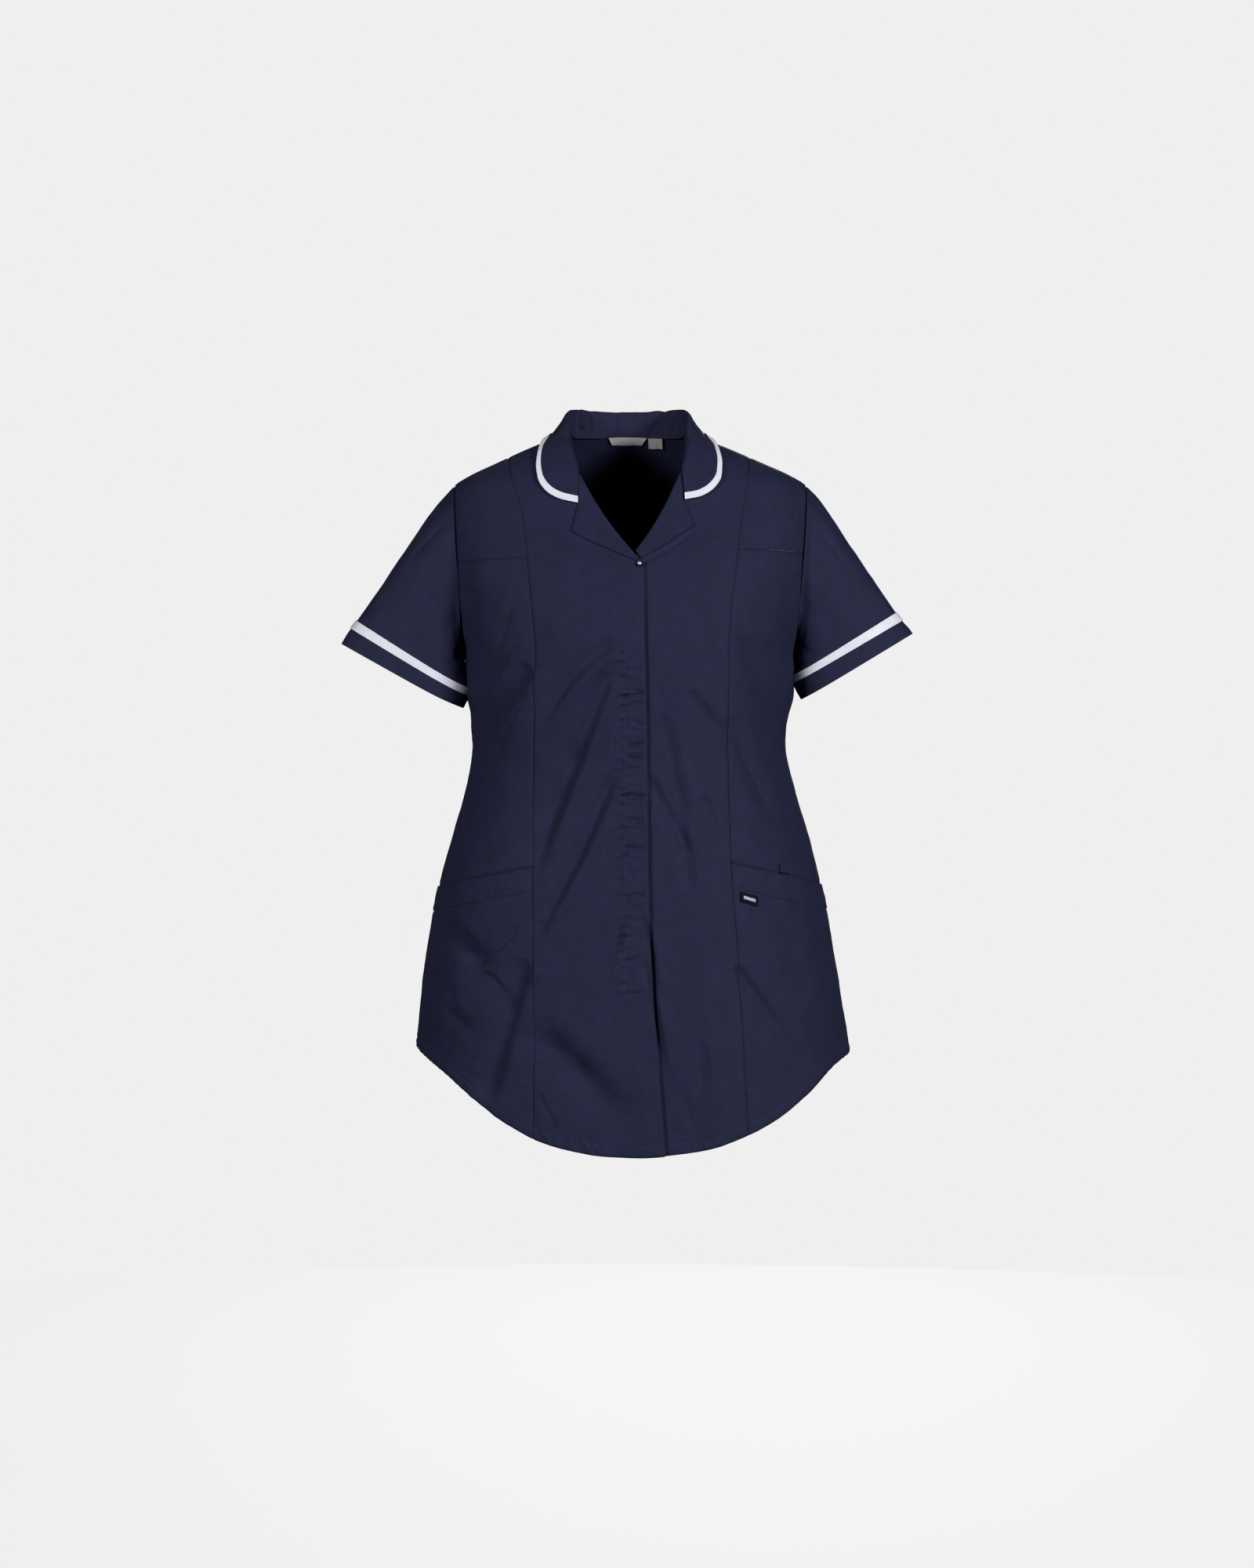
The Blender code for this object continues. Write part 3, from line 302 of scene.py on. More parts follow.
# Collar stations from the centre back to the gorge: the turn of its seam inside the neck's edge, then
# its fold and its outer edge as across from the centre line, deep along +Y and drop, which is negative
# above the neck point; fold is the fold's radius, clear its height over the body, longer its share of
# the extra length that the right end has
COLLAR = table(
    "seam_turn roll_across roll_deep roll_drop edge_across edge_deep edge_drop fold clear longer",
    (180.0, 0.0000, 0.0715, -0.0267, 0.0000, 0.0880, 0.0220, 0.0030, 0.0022, 0.0),
    (166.0, 0.0190, 0.0695, -0.0267, 0.0235, 0.0860, 0.0220, 0.0030, 0.0022, 0.0),
    (150.0, 0.0370, 0.0635, -0.0268, 0.0470, 0.0785, 0.0210, 0.0030, 0.0022, 0.0),
    (134.0, 0.0520, 0.0510, -0.0272, 0.0665, 0.0660, 0.0185, 0.0029, 0.0022, 0.0),
    (116.0, 0.0640, 0.0330, -0.0256, 0.0815, 0.0460, 0.0155, 0.0027, 0.0022, 0.0),
    (102.0, 0.0686, 0.0150, -0.0210, 0.0890, 0.0220, 0.0125, 0.0025, 0.0022, 0.0),
    (88.0, 0.0692, -0.0020, -0.0145, 0.0925, -0.0050, 0.0125, 0.0024, 0.0022, 0.0),
    (74.0, 0.0688, -0.0190, -0.0062, 0.0958, -0.0330, 0.0205, 0.0024, 0.0022, 0.2),
    (59.5, 0.0668, -0.0360, 0.0040, 0.0998, -0.0560, 0.0350, 0.0024, 0.0022, 0.5),
    (45.0, 0.0652, -0.0505, 0.0145, 0.1025, -0.0700, 0.0490, 0.0024, 0.0022, 0.9),
    (32.7, 0.0637, -0.0625, 0.0250, 0.1012, -0.0815, 0.0640, 0.0024, 0.0022, 1.0),
    (25.5, 0.0617, -0.0730, 0.0360, 0.0925, -0.0895, 0.0778, 0.0024, 0.0020, 1.0),
    (20.3, 0.0593, -0.0805, 0.0462, 0.0770, -0.0957, 0.0868, 0.0023, 0.0014, 1.0),
    (16.8, 0.0570, -0.0862, 0.0572, 0.0600, -0.1000, 0.0900, 0.0022, 0.0006, 0.0),
)
COLLAR_FALL = (0.0, 0.33, 0.67, 1.0)
COLLAR_SEAM_IN = 0.0036
COLLAR_SEAM_DOWN = 0.0020
COLLAR_LONGER = {RIGHT: 0.0030, LEFT: 0.0}
COLLAR_TAPE_WIDTH = 0.0078

# Small pieces
POCKET_GAPE = 0.0026
POCKET_GAPE_FADE = 2.5
POCKET_LABEL_LIFT = 0.0022
STUD_PLACE = (0.0130, 0.1636)
POCKET_LABEL = ((0.1243, 0.5268), (0.1437, 0.5306))
POCKET_LABEL_HEIGHT = 0.0112
POCKET_TAB = ((0.1690, 0.4968), (0.1812, 0.4992))
POCKET_TAB_HEIGHT = 0.0098
NECK_LABEL = ((-0.0236, 0.0236), (-0.0188, 0.0166), 0.0036, 0.0122)
SIZE_LABEL = ((0.0247, 0.0414), (0.0247, 0.0414), 0.0064, 0.0179)
LABEL_CLEAR = 0.0016
# How much higher the neck's labels are sewn than in the solids, their sag, and the pocket label's tilt
NECK_LABEL_RISE = 0.0018
SIZE_LABEL_RISE = 0.0036
LABEL_SAG = 0.0004
POCKET_LABEL_TILT = 0.0022

# Intervals of the shells, which give cells about 3 mm wide
FRONT_COLUMNS = 72
SIDE_COLUMNS = 52
SHOULDER_ROWS = (29, 35)
ARMHOLE_ROWS = (64, 40)
SIDE_ROWS = (134, 148)
BACK_ARMHOLE_ROWS = 74
BACK_SIDE_ROWS = 150
BACK_COLUMNS = (28, 92)
SLEEVE_RINGS = 76
COLLAR_CELLS = (40, 216)
FOLD_CELLS = 8
TAPE_CELLS = 6
LABEL_CELLS = (10, 24)
SLEEVE_STEPS = 200
# Narrow cells beside a seam, as shares of the first whole cell
EDGE_CELLS = (0.18, 0.42, 0.72)
ARMHOLE_CELLS = (0.25, 0.6)

# Creases of the cloth in millimetres: troughs on a curve through a start, a bend and an end, each an
# (across, drop), with a half width, a depth, and the share of it in the ridge beside, plus to the
# right as seen; 2 is a step with its trough on the left and its ridge on the right
CREASE_WIDTH = 0.85
CREASE_STEPS = 12
FRONT_CREASES = (
    (-66, 131, -26, 151, 16, 168, 4, 0.9, 0.1),
    (76, 124, 45, 146, 12, 163, 4, 0.9, 0.1),
    (-15, 286, -51, 374, -98, 500, 12, 2.3, 2),
    (-15, 336, -21, 358, -29, 386, 4, 0.5, 2),
    (-12, 400, -45, 485, -99, 580, 11, 2.0, 2),
    (-14, 456, -20, 472, -27, 490, 4, 0.9, -0.4),
    (-13, 256, -58, 280, -92, 346, 11, 1.7, 2),
    (-8, 565, -10, 640, -60, 668, 4, 0.6, 2),
    (-100, 686, -62, 708, -14, 770, 17, 2.6, 0.4),
    (-101, 746, -90, 766, -80, 788, 5, 0.6, 0.5),
    (-49, 707, -57, 737, -68, 763, 9, 0.9, -0.4),
    (-102, 565, -86, 564, -67, 555, 5, 0.8, 0.4),
    (-102, 721, -89, 716, -77, 707, 4, 0.7, 0.4),
    (45, 330, 57, 395, 74, 470, 12, 1.4, 2),
    (28, 396, 52, 447, 85, 502, 9, 1.1, 2),
    (72, 302, 90, 326, 108, 349, 9, 0.8, 2),
    (24, 600, 33, 670, 46, 728, 8, 1.5, 2),
    (21, 556, 27, 590, 38, 642, 6, 1.1, 2),
    (60, 436, 70, 480, 73, 528, 9, 1.1, 2),
    (84, 420, 98, 440, 110, 476, 7, 0.8, 2),
    (90, 252, 99, 278, 107, 304, 10, 0.7, 0.4),
    (86, 690, 91, 746, 84, 800, 12, 1.2, 2),
    (58, 737, 68, 772, 77, 802, 10, 1.0, 0.4),
    (-105, 278, -124, 318, -172, 376, 14, 2.4, 2),
    (-118, 244, -138, 275, -162, 310, 9, 0.9, 2),
    (-110, 304, -135, 343, -155, 395, 9, 1.2, -0.5),
    (-181, 148, -179, 235, -176, 295, 10, 1.2, 0.3),
    (-122, 187, -139, 235, -150, 278, 10, 0.7, -0.4),
    (-120, 568, -142, 597, -172, 610, 5, 1.1, 2),
    (-206, 566, -190, 586, -170, 606, 12, 1.5, 0.5),
    (-179, 625, -150, 604, -131, 655, 4, 1.0, 0.5),
    (-106, 604, -132, 680, -152, 775, 15, 2.7, 2),
    (-206, 658, -190, 672, -170, 684, 11, 1.5, 0.5),
    (-187, 568, -174, 581, -164, 600, 5, 0.8, 0.4),
    (-209, 624, -198, 642, -191, 659, 9, 0.9, 0.4),
    (122, 606, 150, 642, 184, 700, 7, 1.6, 2),
    (139, 600, 133, 633, 127, 668, 8, 0.7, -0.4),
    (172, 564, 190, 607, 207, 650, 12, 0.7, 0.4),
    (124, 243, 151, 291, 174, 358, 12, 1.8, 0.5),
    (119, 352, 138, 395, 165, 444, 10, 1.5, 0.5),
    (175, 217, 179, 278, 177, 321, 10, 1.0, -0.3),
    (164, 395, 181, 442, 197, 486, 10, 0.9, 0.4),
)
BACK_CREASES = (
    (-150, 300, -90, 330, -30, 322, 12, 2.0, 0.5),
    (-165, 345, -110, 372, -60, 378, 10, 1.6, 0.5),
    (30, 326, 85, 340, 150, 305, 12, 2.0, 0.5),
    (62, 386, 112, 380, 160, 352, 10, 1.5, 0.5),
    (-95, 410, -20, 428, 48, 414, 13, 1.8, 0.4),
    (-120, 470, -128, 600, -142, 770, 18, 3.0, 0.5),
    (82, 455, 92, 610, 104, 785, 20, 3.2, 0.5),
    (-30, 500, -24, 640, -34, 800, 18, 2.4, -0.5),
    (160, 480, 176, 600, 196, 720, 15, 2.2, 0.5),
    (-172, 470, -190, 590, -204, 710, 15, 2.0, 0.4),
    (-130, 120, -100, 190, -96, 250, 13, 1.6, 0.5),
    (128, 115, 104, 185, 100, 240, 13, 1.5, -0.5),
    (-52, 150, -44, 240, -56, 300, 16, 1.0, 0.4),
    (40, 200, 30, 270, 44, 320, 14, 1.0, 0.4),
    (20, 640, 36, 700, 30, 790, 12, 1.4, 0.4),
    (-80, 650, -72, 720, -84, 800, 12, 1.2, -0.4),
)
# How deep the front's creases are outside its long seams, as a share, and where those seams lie
SIDE_CREASES = 0.75
FRONT_PANELS = (-0.112, 0.112, 0.006)

# Creases of a sleeve: the phase round it in degrees (0 on top, 90 in front, 180 under the arm) and the
# place down it from 0 at the armhole to 1 at the cuff, with half width and depth in millimetres
SLEEVE_CREASES = {
    RIGHT: (
        (58, 0.00, 44, 0.22, 40, 0.46, 9, 1.5, 0.5),
        (30, 0.00, 26, 0.10, 24, 0.30, 8, 0.9, -0.4),
        (120, 0.02, 108, 0.30, 96, 0.66, 10, 1.6, 0.5),
        (150, 0.04, 138, 0.30, 124, 0.72, 9, 1.5, -0.5),
        (88, 0.10, 80, 0.34, 70, 0.60, 11, 0.9, 0.4),
        (168, 0.20, 158, 0.50, 150, 0.90, 8, 1.2, 0.4),
        (215, 0.02, 226, 0.30, 236, 0.70, 11, 1.9, 0.5),
        (250, 0.04, 256, 0.30, 268, 0.56, 11, 1.4, -0.5),
        (300, 0.02, 306, 0.24, 310, 0.50, 10, 1.2, 0.4),
    ),
    LEFT: (
        (62, 0.00, 52, 0.20, 46, 0.44, 9, 1.6, -0.5),
        (34, 0.00, 30, 0.12, 30, 0.34, 8, 0.9, 0.4),
        (112, 0.02, 100, 0.28, 92, 0.60, 11, 1.6, -0.5),
        (142, 0.03, 132, 0.32, 118, 0.74, 9, 1.5, 0.5),
        (84, 0.14, 78, 0.36, 72, 0.56, 10, 0.8, 0.4),
        (170, 0.24, 160, 0.52, 154, 0.92, 8, 1.1, 0.4),
        (220, 0.02, 232, 0.30, 240, 0.72, 11, 1.8, -0.5),
        (254, 0.06, 262, 0.30, 270, 0.60, 11, 1.4, 0.5),
        (304, 0.02, 310, 0.22, 316, 0.48, 10, 1.1, 0.4),
    ),
}
# The length round a sleeve of one degree, its length down, the share of their depth that its creases
# have, and how much of that they lose on its underside, which is a window of phases
DEGREE_ROUND = 0.0011
SLEEVE_LENGTH = 0.200
SLEEVE_CREASE = 0.5
UNDERSIDE = (150, 210, 8)
UNDERSIDE_CALM = 0.8
# The trough beside the left armhole: its depth, its width down the sleeve, and its window of phases
LEFT_TROUGH = (0.0024, 0.006, (40, 128, 10))

# Creases of the collar: places along it from 0 at the right gorge to 1 at the left, and down it from 0
# at its seam through 0.44 at the fold to 1 at the outer edge, with half width and depth in millimetres
COLLAR_CREASES = (
    (0.346, 0.02, 0.350, 0.12, 0.352, 0.26, 3, 1.6, 0.6),
    (0.362, 0.02, 0.366, 0.12, 0.366, 0.30, 3, 2.0, 0.6),
    (0.376, 0.02, 0.380, 0.12, 0.378, 0.24, 3, 1.3, 0.6),
    (0.396, 0.02, 0.402, 0.14, 0.406, 0.30, 5, 1.3, 0.5),
    (0.470, 0.04, 0.476, 0.16, 0.480, 0.30, 7, 0.9, 0.4),
    (0.560, 0.02, 0.580, 0.16, 0.616, 0.34, 5, 2.0, -0.5),
    (0.622, 0.02, 0.628, 0.10, 0.630, 0.22, 3, 1.4, 0.5),
    (0.638, 0.02, 0.644, 0.14, 0.646, 0.28, 3, 1.7, 0.5),
    (0.654, 0.02, 0.658, 0.12, 0.658, 0.24, 3, 1.2, 0.5),
    (0.215, 0.52, 0.225, 0.62, 0.235, 0.74, 6, 0.9, 0.4),
    (0.790, 0.52, 0.780, 0.64, 0.772, 0.78, 6, 0.9, 0.4),
)
COLLAR_LENGTH = 0.470
COLLAR_DEPTH = 0.078
# The fold's place down the collar, and how far from it the creases begin
COLLAR_FOLD = 0.44
COLLAR_CALM = 0.20

# Sewing, in metres
HEM_STITCH = 0.0120
CUFF_TURN = 0.0200
POCKET_TURN = 0.0275
FLY_ACROSS = -0.0070
FLY_ROWS = (FLY_ACROSS, FLY_ACROSS + 0.0042)
FLY_DROPS = (0.2126, 0.6340)
FLY_LAYER = 0.0006
FLY_PUCKER = 0.0024
# Puckers across the fly in millimetres: drop, start and end across, half width and depth
FLY_PUCKERS = (
    (281, -3, 15, 2.0, 0.6), (304, -5, 14, 2.2, 0.7), (312, -6, 18, 2.4, 1.6), (339, 6, 19, 2.2, 1.0),
    (349, -2, 14, 2.4, 0.6), (366, 0, 19, 2.8, 1.5), (377, -4, 17, 2.4, 1.1), (386, -6, 12, 2.2, 0.8),
    (421, -5, 19, 2.8, 1.4), (447, -4, 18, 2.6, 1.2), (460, -6, 10, 2.0, 0.7), (477, -5, 19, 3.0, 1.5),
    (505, -4, 14, 2.4, 0.8), (533, -5, 18, 2.8, 1.3), (556, -4, 14, 2.4, 0.9), (603, -5, 12, 2.2, 0.8),
)
# Bars across the fly: their start across, and the drop and the length of each
BAR_START = FLY_ACROSS + 0.002
FLY_BARS = ((0.5770, 0.0235), (0.6385, 0.0250))
CHEST_STITCHES = (0.40, 0.80)
CHEST_STITCH_PITCH = 0.0042
CHEST_STITCH_LIFT = 0.0006
# Rows of stitches on a tape, as shares of its width, and a thread's lift as a share of its radius
TAPE_ROWS = (0.12, 0.88)
THREAD_LIFT = 0.6
TAPE_LIFT = 0.0006
CUFF_TAPE_SWELL = 0.00012
COLLAR_TAPE_SWELL = 0.00015

# Edges that turn in at a seam: how far, and over what width
EDGE_ROLL = 0.0009
EDGE_ROLL_WIDTH = 0.0014

# How far the lapels and the lapped edge swell off the front, and where that edge gapes most
LAPEL_LOFT = 0.0008
LAPEL_LOFT_ROWS = (0.12, 0.80)
LAP_LOFT = 0.0010
LAP_WINDOW = (0.180, 1.0, 0.010)
LAP_GAPE = (0.570, 0.690, 0.020)

# Sunk lines, as a depth and a half width: under stitches, at the stand of the lap, below a pocket's
# mouth, which lies over the line by MOUTH_OVER, and at an armhole
HEM_SINK = (0.00045, 0.0013)
POCKET_SINK = (0.0011, 0.0014)
FLY_SINK = (0.0007, 0.0011)
BAR_SINK = (0.0018, 0.0017)
STAND_SINK = (0.0008, 0.0011)
MOUTH_SINK = (0.0016, 0.0020)
MOUTH_OVER = 0.0012
ARMHOLE_SINK = (0.0007, 0.0016)

# Uneven rows of puckers: seed, spacing and half width; on a right or left side the seed has -1 or 1 added
HEM_PUCKERS = (41, 0.0090, 0.0022)
LONG_SEAM_PUCKERS = (21, 0.016, 0.0042)
FLY_ROPES = ((0.0034, 0.35, (12, 0.0080, 0.0023)), (0.0020, -0.30, (13, 0.0120, 0.0028)))
POCKET_PUCKERS = (31, 0.0085, 0.0026)
CUFF_PUCKERS = (51, 0.0120, 0.0034)

# Heights and shortest and longest lengths of the slight waves all over the cloth: broad, then fine,
# and the windows of drops or shares where they lie
BROAD_WAVES = (0.00035, 0.035, 0.110)
FINE_WAVES = (0.00016, 0.012, 0.034)
FRONT_WAVES = (0.12, 0.9, 0.03)
BACK_WAVES = (0.06, 0.9, 0.02)
SLEEVE_WAVES = (0.08, 0.97, 0.04)
COLLAR_WAVES = (0.05, 0.92, 0.03)
WAVES = 14

# How far the cloth spreads below the arms, within a half width in radians and a window of drops, and
# how far the underside of a sleeve hangs in to it, within a half width in degrees
ARM_SPREAD = {RIGHT: 0.0056, LEFT: 0.0072}
ARM_SPREAD_TURN = 0.40
ARM_SPREAD_DROPS = (0.264, 0.318, 0.006)
SLEEVE_HANG = {RIGHT: 0.0085, LEFT: 0.0030}
SLEEVE_HANG_PHASE = 40

# Outlines of the stud's two parts, as (radius, height)
STUD_RIM = (
    (0.0, 0.0), (0.0036, 0.0), (0.0038, 0.0004), (0.0036, 0.0009), (0.0030, 0.0010), (0.0025, 0.0006),
    (0.0, 0.0006),
)
STUD_CAP = (
    (0.0, 0.0007), (0.0021, 0.0007), (0.00215, 0.0011), (0.0019, 0.0016), (0.0012, 0.0019), (0.0, 0.0020),
)

# Sizes of the finishes' patterns: the width and length of a slub, the mottle, the metal's wear and the
# thread's twist, and how far the label's bar reaches each way from its middle, as shares
SLUB_THIN = 0.0012
SLUB_LONG = 0.030
MOTTLE = 1 / 38
METAL_WEAR = 1 / 900
THREAD_TWIST = 1 / 2400
BAR_REACH = {"X": 0.34, "Y": 0.15}

# Studio
GROUND_COLOUR = "#EFEFEF"
FLOOR_COLOUR = "#202020"
AMBIENT_COLOUR = (0.92, 0.95, 1.0, 1.0)
AMBIENT = 0.02
FLOOR_DROP = 1.40
FLOOR_RADIUS = 3.2
FLOOR_GLOW = 0.93
CAMERA_PLACE = (-0.0009, -4.0, -0.4077)
CAMERA_LENS = 80.0
CAMERA_SENSOR = 36.0
# Name, place, what it faces, size and power of each soft box
LIGHTS = (
    ("right_box", (2.8, -3.1, 0.60), (0.0, -0.1, -0.42), 1.0, 146.0),
    ("left_box", (-2.8, -3.1, 0.60), (0.0, -0.1, -0.42), 1.0, 98.0),
    ("rear_box", (0.35, 4.2, 0.6), (0.0, 0.1, -0.42), 1.2, 125.0),
)

# Filled while the tunic is made: its finishes, and the outer points and places of the sewn pieces
MATERIALS = {}
SURFACES = {}


# Curves and the form

def unit(vectors):
    """The same directions with a length of 1."""
    return vectors / np.linalg.norm(vectors, axis=-1, keepdims=True)


def smooth(x, y, at):
    """A smooth curve through points, which never swings past them."""
    at = np.clip(at, x[0], x[-1])
    step = np.diff(x)
    slope = np.diff(y) / step
    agree = slope[:-1] * slope[1:] > 0
    total = np.where(agree, slope[:-1] + slope[1:], 1.0)
    inner = np.where(agree, 2 * slope[:-1] * slope[1:] / total, 0.0)
    tangent = np.concatenate([slope[:1], inner, slope[-1:]])
    i = np.clip(np.searchsorted(x, at) - 1, 0, len(step) - 1)
    t = (at - x[i]) / step[i]
    value = (1 + 2 * t) * (1 - t) ** 2 * y[i] + t * t * (3 - 2 * t) * y[i + 1]
    return value + step[i] * t * (1 - t) * ((1 - t) * tangent[i] - t * tangent[i + 1])


def read(columns, name, drop):
    """One column of a table at a drop."""
    return smooth(columns["drop"], columns[name], drop)


def form(turn, drop):
    """The place in space at a turn round the body and a drop below the neck point."""
    power = 2 / ROUNDNESS
    sine, cosine = np.sin(turn), np.cos(turn)
    across = read(BODY, "half_width", drop) * np.sign(sine) * np.abs(sine) ** power
    depth = np.where(cosine > 0, -read(BODY, "front", drop), read(BODY, "back", drop))
    return np.stack(
        [read(BODY, "centre", drop) + across, depth * np.abs(cosine) ** power, -drop + 0 * turn], axis=-1
    )


def outward(turn, drop):
    """The direction straight out of the form."""
    turn_step, drop_step = 0.004, 0.001
    round_it = form(turn + turn_step, drop) - form(turn - turn_step, drop)
    down = form(turn, drop + drop_step) - form(turn, drop - drop_step)
    return unit(np.cross(down, round_it))


def turn_at(across, drop, behind=False):
    """The turn at which the form is a given distance across, before or behind the side seams."""
    share = (across - read(BODY, "centre", drop)) / read(BODY, "half_width", drop)
    share = np.clip(share, -1, 1)
    turn = np.arcsin(np.sign(share) * np.abs(share) ** (ROUNDNESS / 2))
    return math.pi - turn if behind else turn


def fold_depth(turn, drop):
    """How far the folds draw the cloth in; they fade out toward the side seams."""
    across = form(turn, drop)[..., 0]
    depth = 0.0 * turn
    for folds, facing in ((FRONT_FOLDS, np.cos(turn)), (BACK_FOLDS, -np.cos(turn))):
        near = np.clip(facing * FOLD_FADE, 0, 1)
        for x0, d0, x1, d1, half_width, deep in zip(*folds.values()):
            run = (x1 - x0) ** 2 + (d1 - d0) ** 2
            along = ((across - x0) * (x1 - x0) + (drop - d0) * (d1 - d0)) / run
            along = np.clip(along, 0, 1)
            away = (across - x0 - along * (x1 - x0)) ** 2 + (drop - d0 - along * (d1 - d0)) ** 2
            depth = depth + deep * near * np.exp(-away / half_width**2)
    return depth


def on_form(places, lift=0.0):
    """Points on the cloth for an array of (turn, drop), moved out by a lift."""
    turn, drop = places[..., 0], places[..., 1]
    out = outward(turn, drop)
    return form(turn, drop) + out * (lift - fold_depth(turn, drop))[..., None]


def places_at(points, behind=False):
    """(turn, drop) for an array of (across, drop)."""
    points = np.asarray(points, float)
    return np.stack([turn_at(points[..., 0], points[..., 1], behind), points[..., 1]], axis=-1)


def between(start, end, count):
    """Points spread evenly from start to end, in count intervals."""
    t = np.linspace(0, 1, count + 1)[:, None]
    return (1 - t) * np.asarray(start, float) + t * np.asarray(end, float)


def joined(*runs):
    """Runs of points end to end, each starting where the last one stopped."""
    return np.concatenate([runs[0]] + [run[1:] for run in runs[1:]])


def run_lengths(points):
    """How far each point is along a line, or down each column of a grid."""
    steps = np.linalg.norm(np.diff(points, axis=0), axis=-1)
    return np.concatenate([0 * steps[:1], np.cumsum(steps, axis=0)])


def points_at(line, lengths):
    """Points at lengths along a line."""
    run = run_lengths(line)
    return np.stack([np.interp(lengths, run, line[:, i]) for i in range(line.shape[1])], axis=1)


def along(points, count):
    """Points spread evenly by length along a line through given points."""
    points = np.asarray(points, float)
    return points_at(points, np.linspace(0, run_lengths(points)[-1], count + 1))


def shares(rows, columns):
    """Shares from 0 to 1 down a grid, as a column, and across it, as a row."""
    return np.linspace(0, 1, rows)[:, None], np.linspace(0, 1, columns)[None, :]


def patch(top, bottom, first, last):
    """Places between four seams: top and bottom run across, first and last run down."""
    v, u = (share[..., None] for share in shares(len(first), len(top)))
    across = (1 - u) * first[:, None] + u * last[:, None]
    down = (1 - v) * top[None] + v * bottom[None]
    corners = (1 - u) * ((1 - v) * top[0] + v * bottom[0]) + u * ((1 - v) * top[-1] + v * bottom[-1])
    return across + down - corners


# Shells of cloth

def sizes():
    """The sizes that a user can change."""
    return bpy.context.scene.tunic_sizes


def trim(points, amount=SEAM_TRIM, axes=(0, 1)):
    """Draws a shell's edges in, as by half a seam's gap: its first and last rows, columns, or both."""
    points = points.copy()
    for axis in axes:
        grid = np.moveaxis(points, axis, 0)
        for edge, inside in ((0, 1), (-1, -2)):
            grid[edge] += amount * unit(grid[inside] - grid[edge])
    return points


def grid_normals(points, ring=False):
    """Directions square to a grid of points, on the side of rows down by columns across."""
    if ring:
        around = np.roll(points, -1, axis=1) - np.roll(points, 1, axis=1)
    else:
        around = np.gradient(points, axis=1)
    return unit(np.cross(np.gradient(points, axis=0), around))


def cloth_lengths(points):
    """(across, down) lengths in metres at each point of a grid, along its own threads."""
    u = run_lengths(np.swapaxes(points, 0, 1)).T
    return np.stack([u - u[:, -1:] / 2, run_lengths(points)], axis=-1)


def finish_piece(name, bm, finish, replaced=None):
    """Turns a bmesh into a shown piece that rides with the garment."""
    mesh = bpy.data.meshes.new(name)
    bm.to_mesh(mesh)
    bm.free()
    mesh.shade_smooth()
    mesh.set_sharp_from_angle(angle=math.radians(50))
    mesh.materials.append(MATERIALS[finish])
    obj = bpy.data.objects.new(name, mesh)
    bpy.context.scene.collection.objects.link(obj)
    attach(obj, "root")
    if replaced:
        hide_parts(replaced)
    return obj


def build_shell(name, finish, replaced, outer, inner, lengths, ring=False):
    """One closed thin shell between two grids of points; a ring closes across."""
    if ring:
        outer, inner, lengths = (np.concatenate([g, g[:, :1]], axis=1) for g in (outer, inner, lengths))
        lengths = lengths.copy()
        lengths[:, -1, 0] = 2 * lengths[:, -2, 0] - lengths[:, -3, 0]
    rows, columns = outer.shape[:2]
    bm = bmesh.new()
    bmesh.ops.create_grid(bm, x_segments=columns - 1, y_segments=rows - 1, size=1)
    place = bm.verts.layers.int.new("place")
    threads = bm.loops.layers.uv.new("threads")
    flat_outer, flat_inner = outer.reshape(-1, 3).tolist(), inner.reshape(-1, 3).tolist()
    flat_lengths = lengths.reshape(-1, 2).tolist()
    for index, vert in enumerate(bm.verts):
        vert[place] = index
        vert.co = flat_outer[index]
    for face in bm.faces:
        for loop in face.loops:
            loop[threads].uv = flat_lengths[loop.vert[place]]
    if ring:
        bmesh.ops.remove_doubles(bm, verts=bm.verts, dist=1e-6)
    raised = bmesh.ops.extrude_face_region(bm, geom=bm.faces[:], use_keep_orig=True)
    for vert in raised["geom"]:
        if isinstance(vert, bmesh.types.BMVert):
            vert.co = flat_inner[vert[place]]
    bmesh.ops.recalc_face_normals(bm, faces=bm.faces)
    return finish_piece(name, bm, finish, replaced)


def cloth_shell(name, replaced, outer, out, ring=False):
    """A shell of the navy cloth under a grid of points."""
    return build_shell(name, "navy", replaced, outer, outer - sizes().cloth * out, cloth_lengths(outer), ring)


def tape_shell(name, replaced, band, out, swell, ring=False):
    """A shell of tape just off a band of points, swelling toward its middle; its top is kept for stitches."""
    inside = band + TAPE_LIFT * out
    arch = swell * np.sin(math.pi * np.linspace(0, 1, len(band)))[:, None, None]
    top = inside + (sizes().tape + arch) * out
    SURFACES[name] = (top, None)
    return build_shell(name, "tape", replaced, top, inside, cloth_lengths(top), ring)


def edge_cells(grid):
    """Adds narrow cells along the edges of a grid, so that a seam can be rounded there."""
    for axis in (0, 1):
        moved = np.moveaxis(grid, axis, 0)
        first = [(1 - t) * moved[0] + t * moved[1] for t in EDGE_CELLS]
        last = [(1 - t) * moved[-1] + t * moved[-2] for t in EDGE_CELLS]
        moved = np.concatenate([moved[:1], first, moved[1:-1], last[::-1], moved[-1:]])
        grid = np.moveaxis(moved, 0, axis)
    return grid


def rolled_edges(points, rolled):
    """How far the cloth turns in along the edges named: left, right, top, bottom."""
    u, v = np.moveaxis(cloth_lengths(points), -1, 0)
    away = {"l": u - u[:, :1], "r": u[:, -1:] - u, "t": v, "b": v[-1:] - v}
    return -sum(groove(away[edge], EDGE_ROLL, EDGE_ROLL_WIDTH) for edge in rolled)


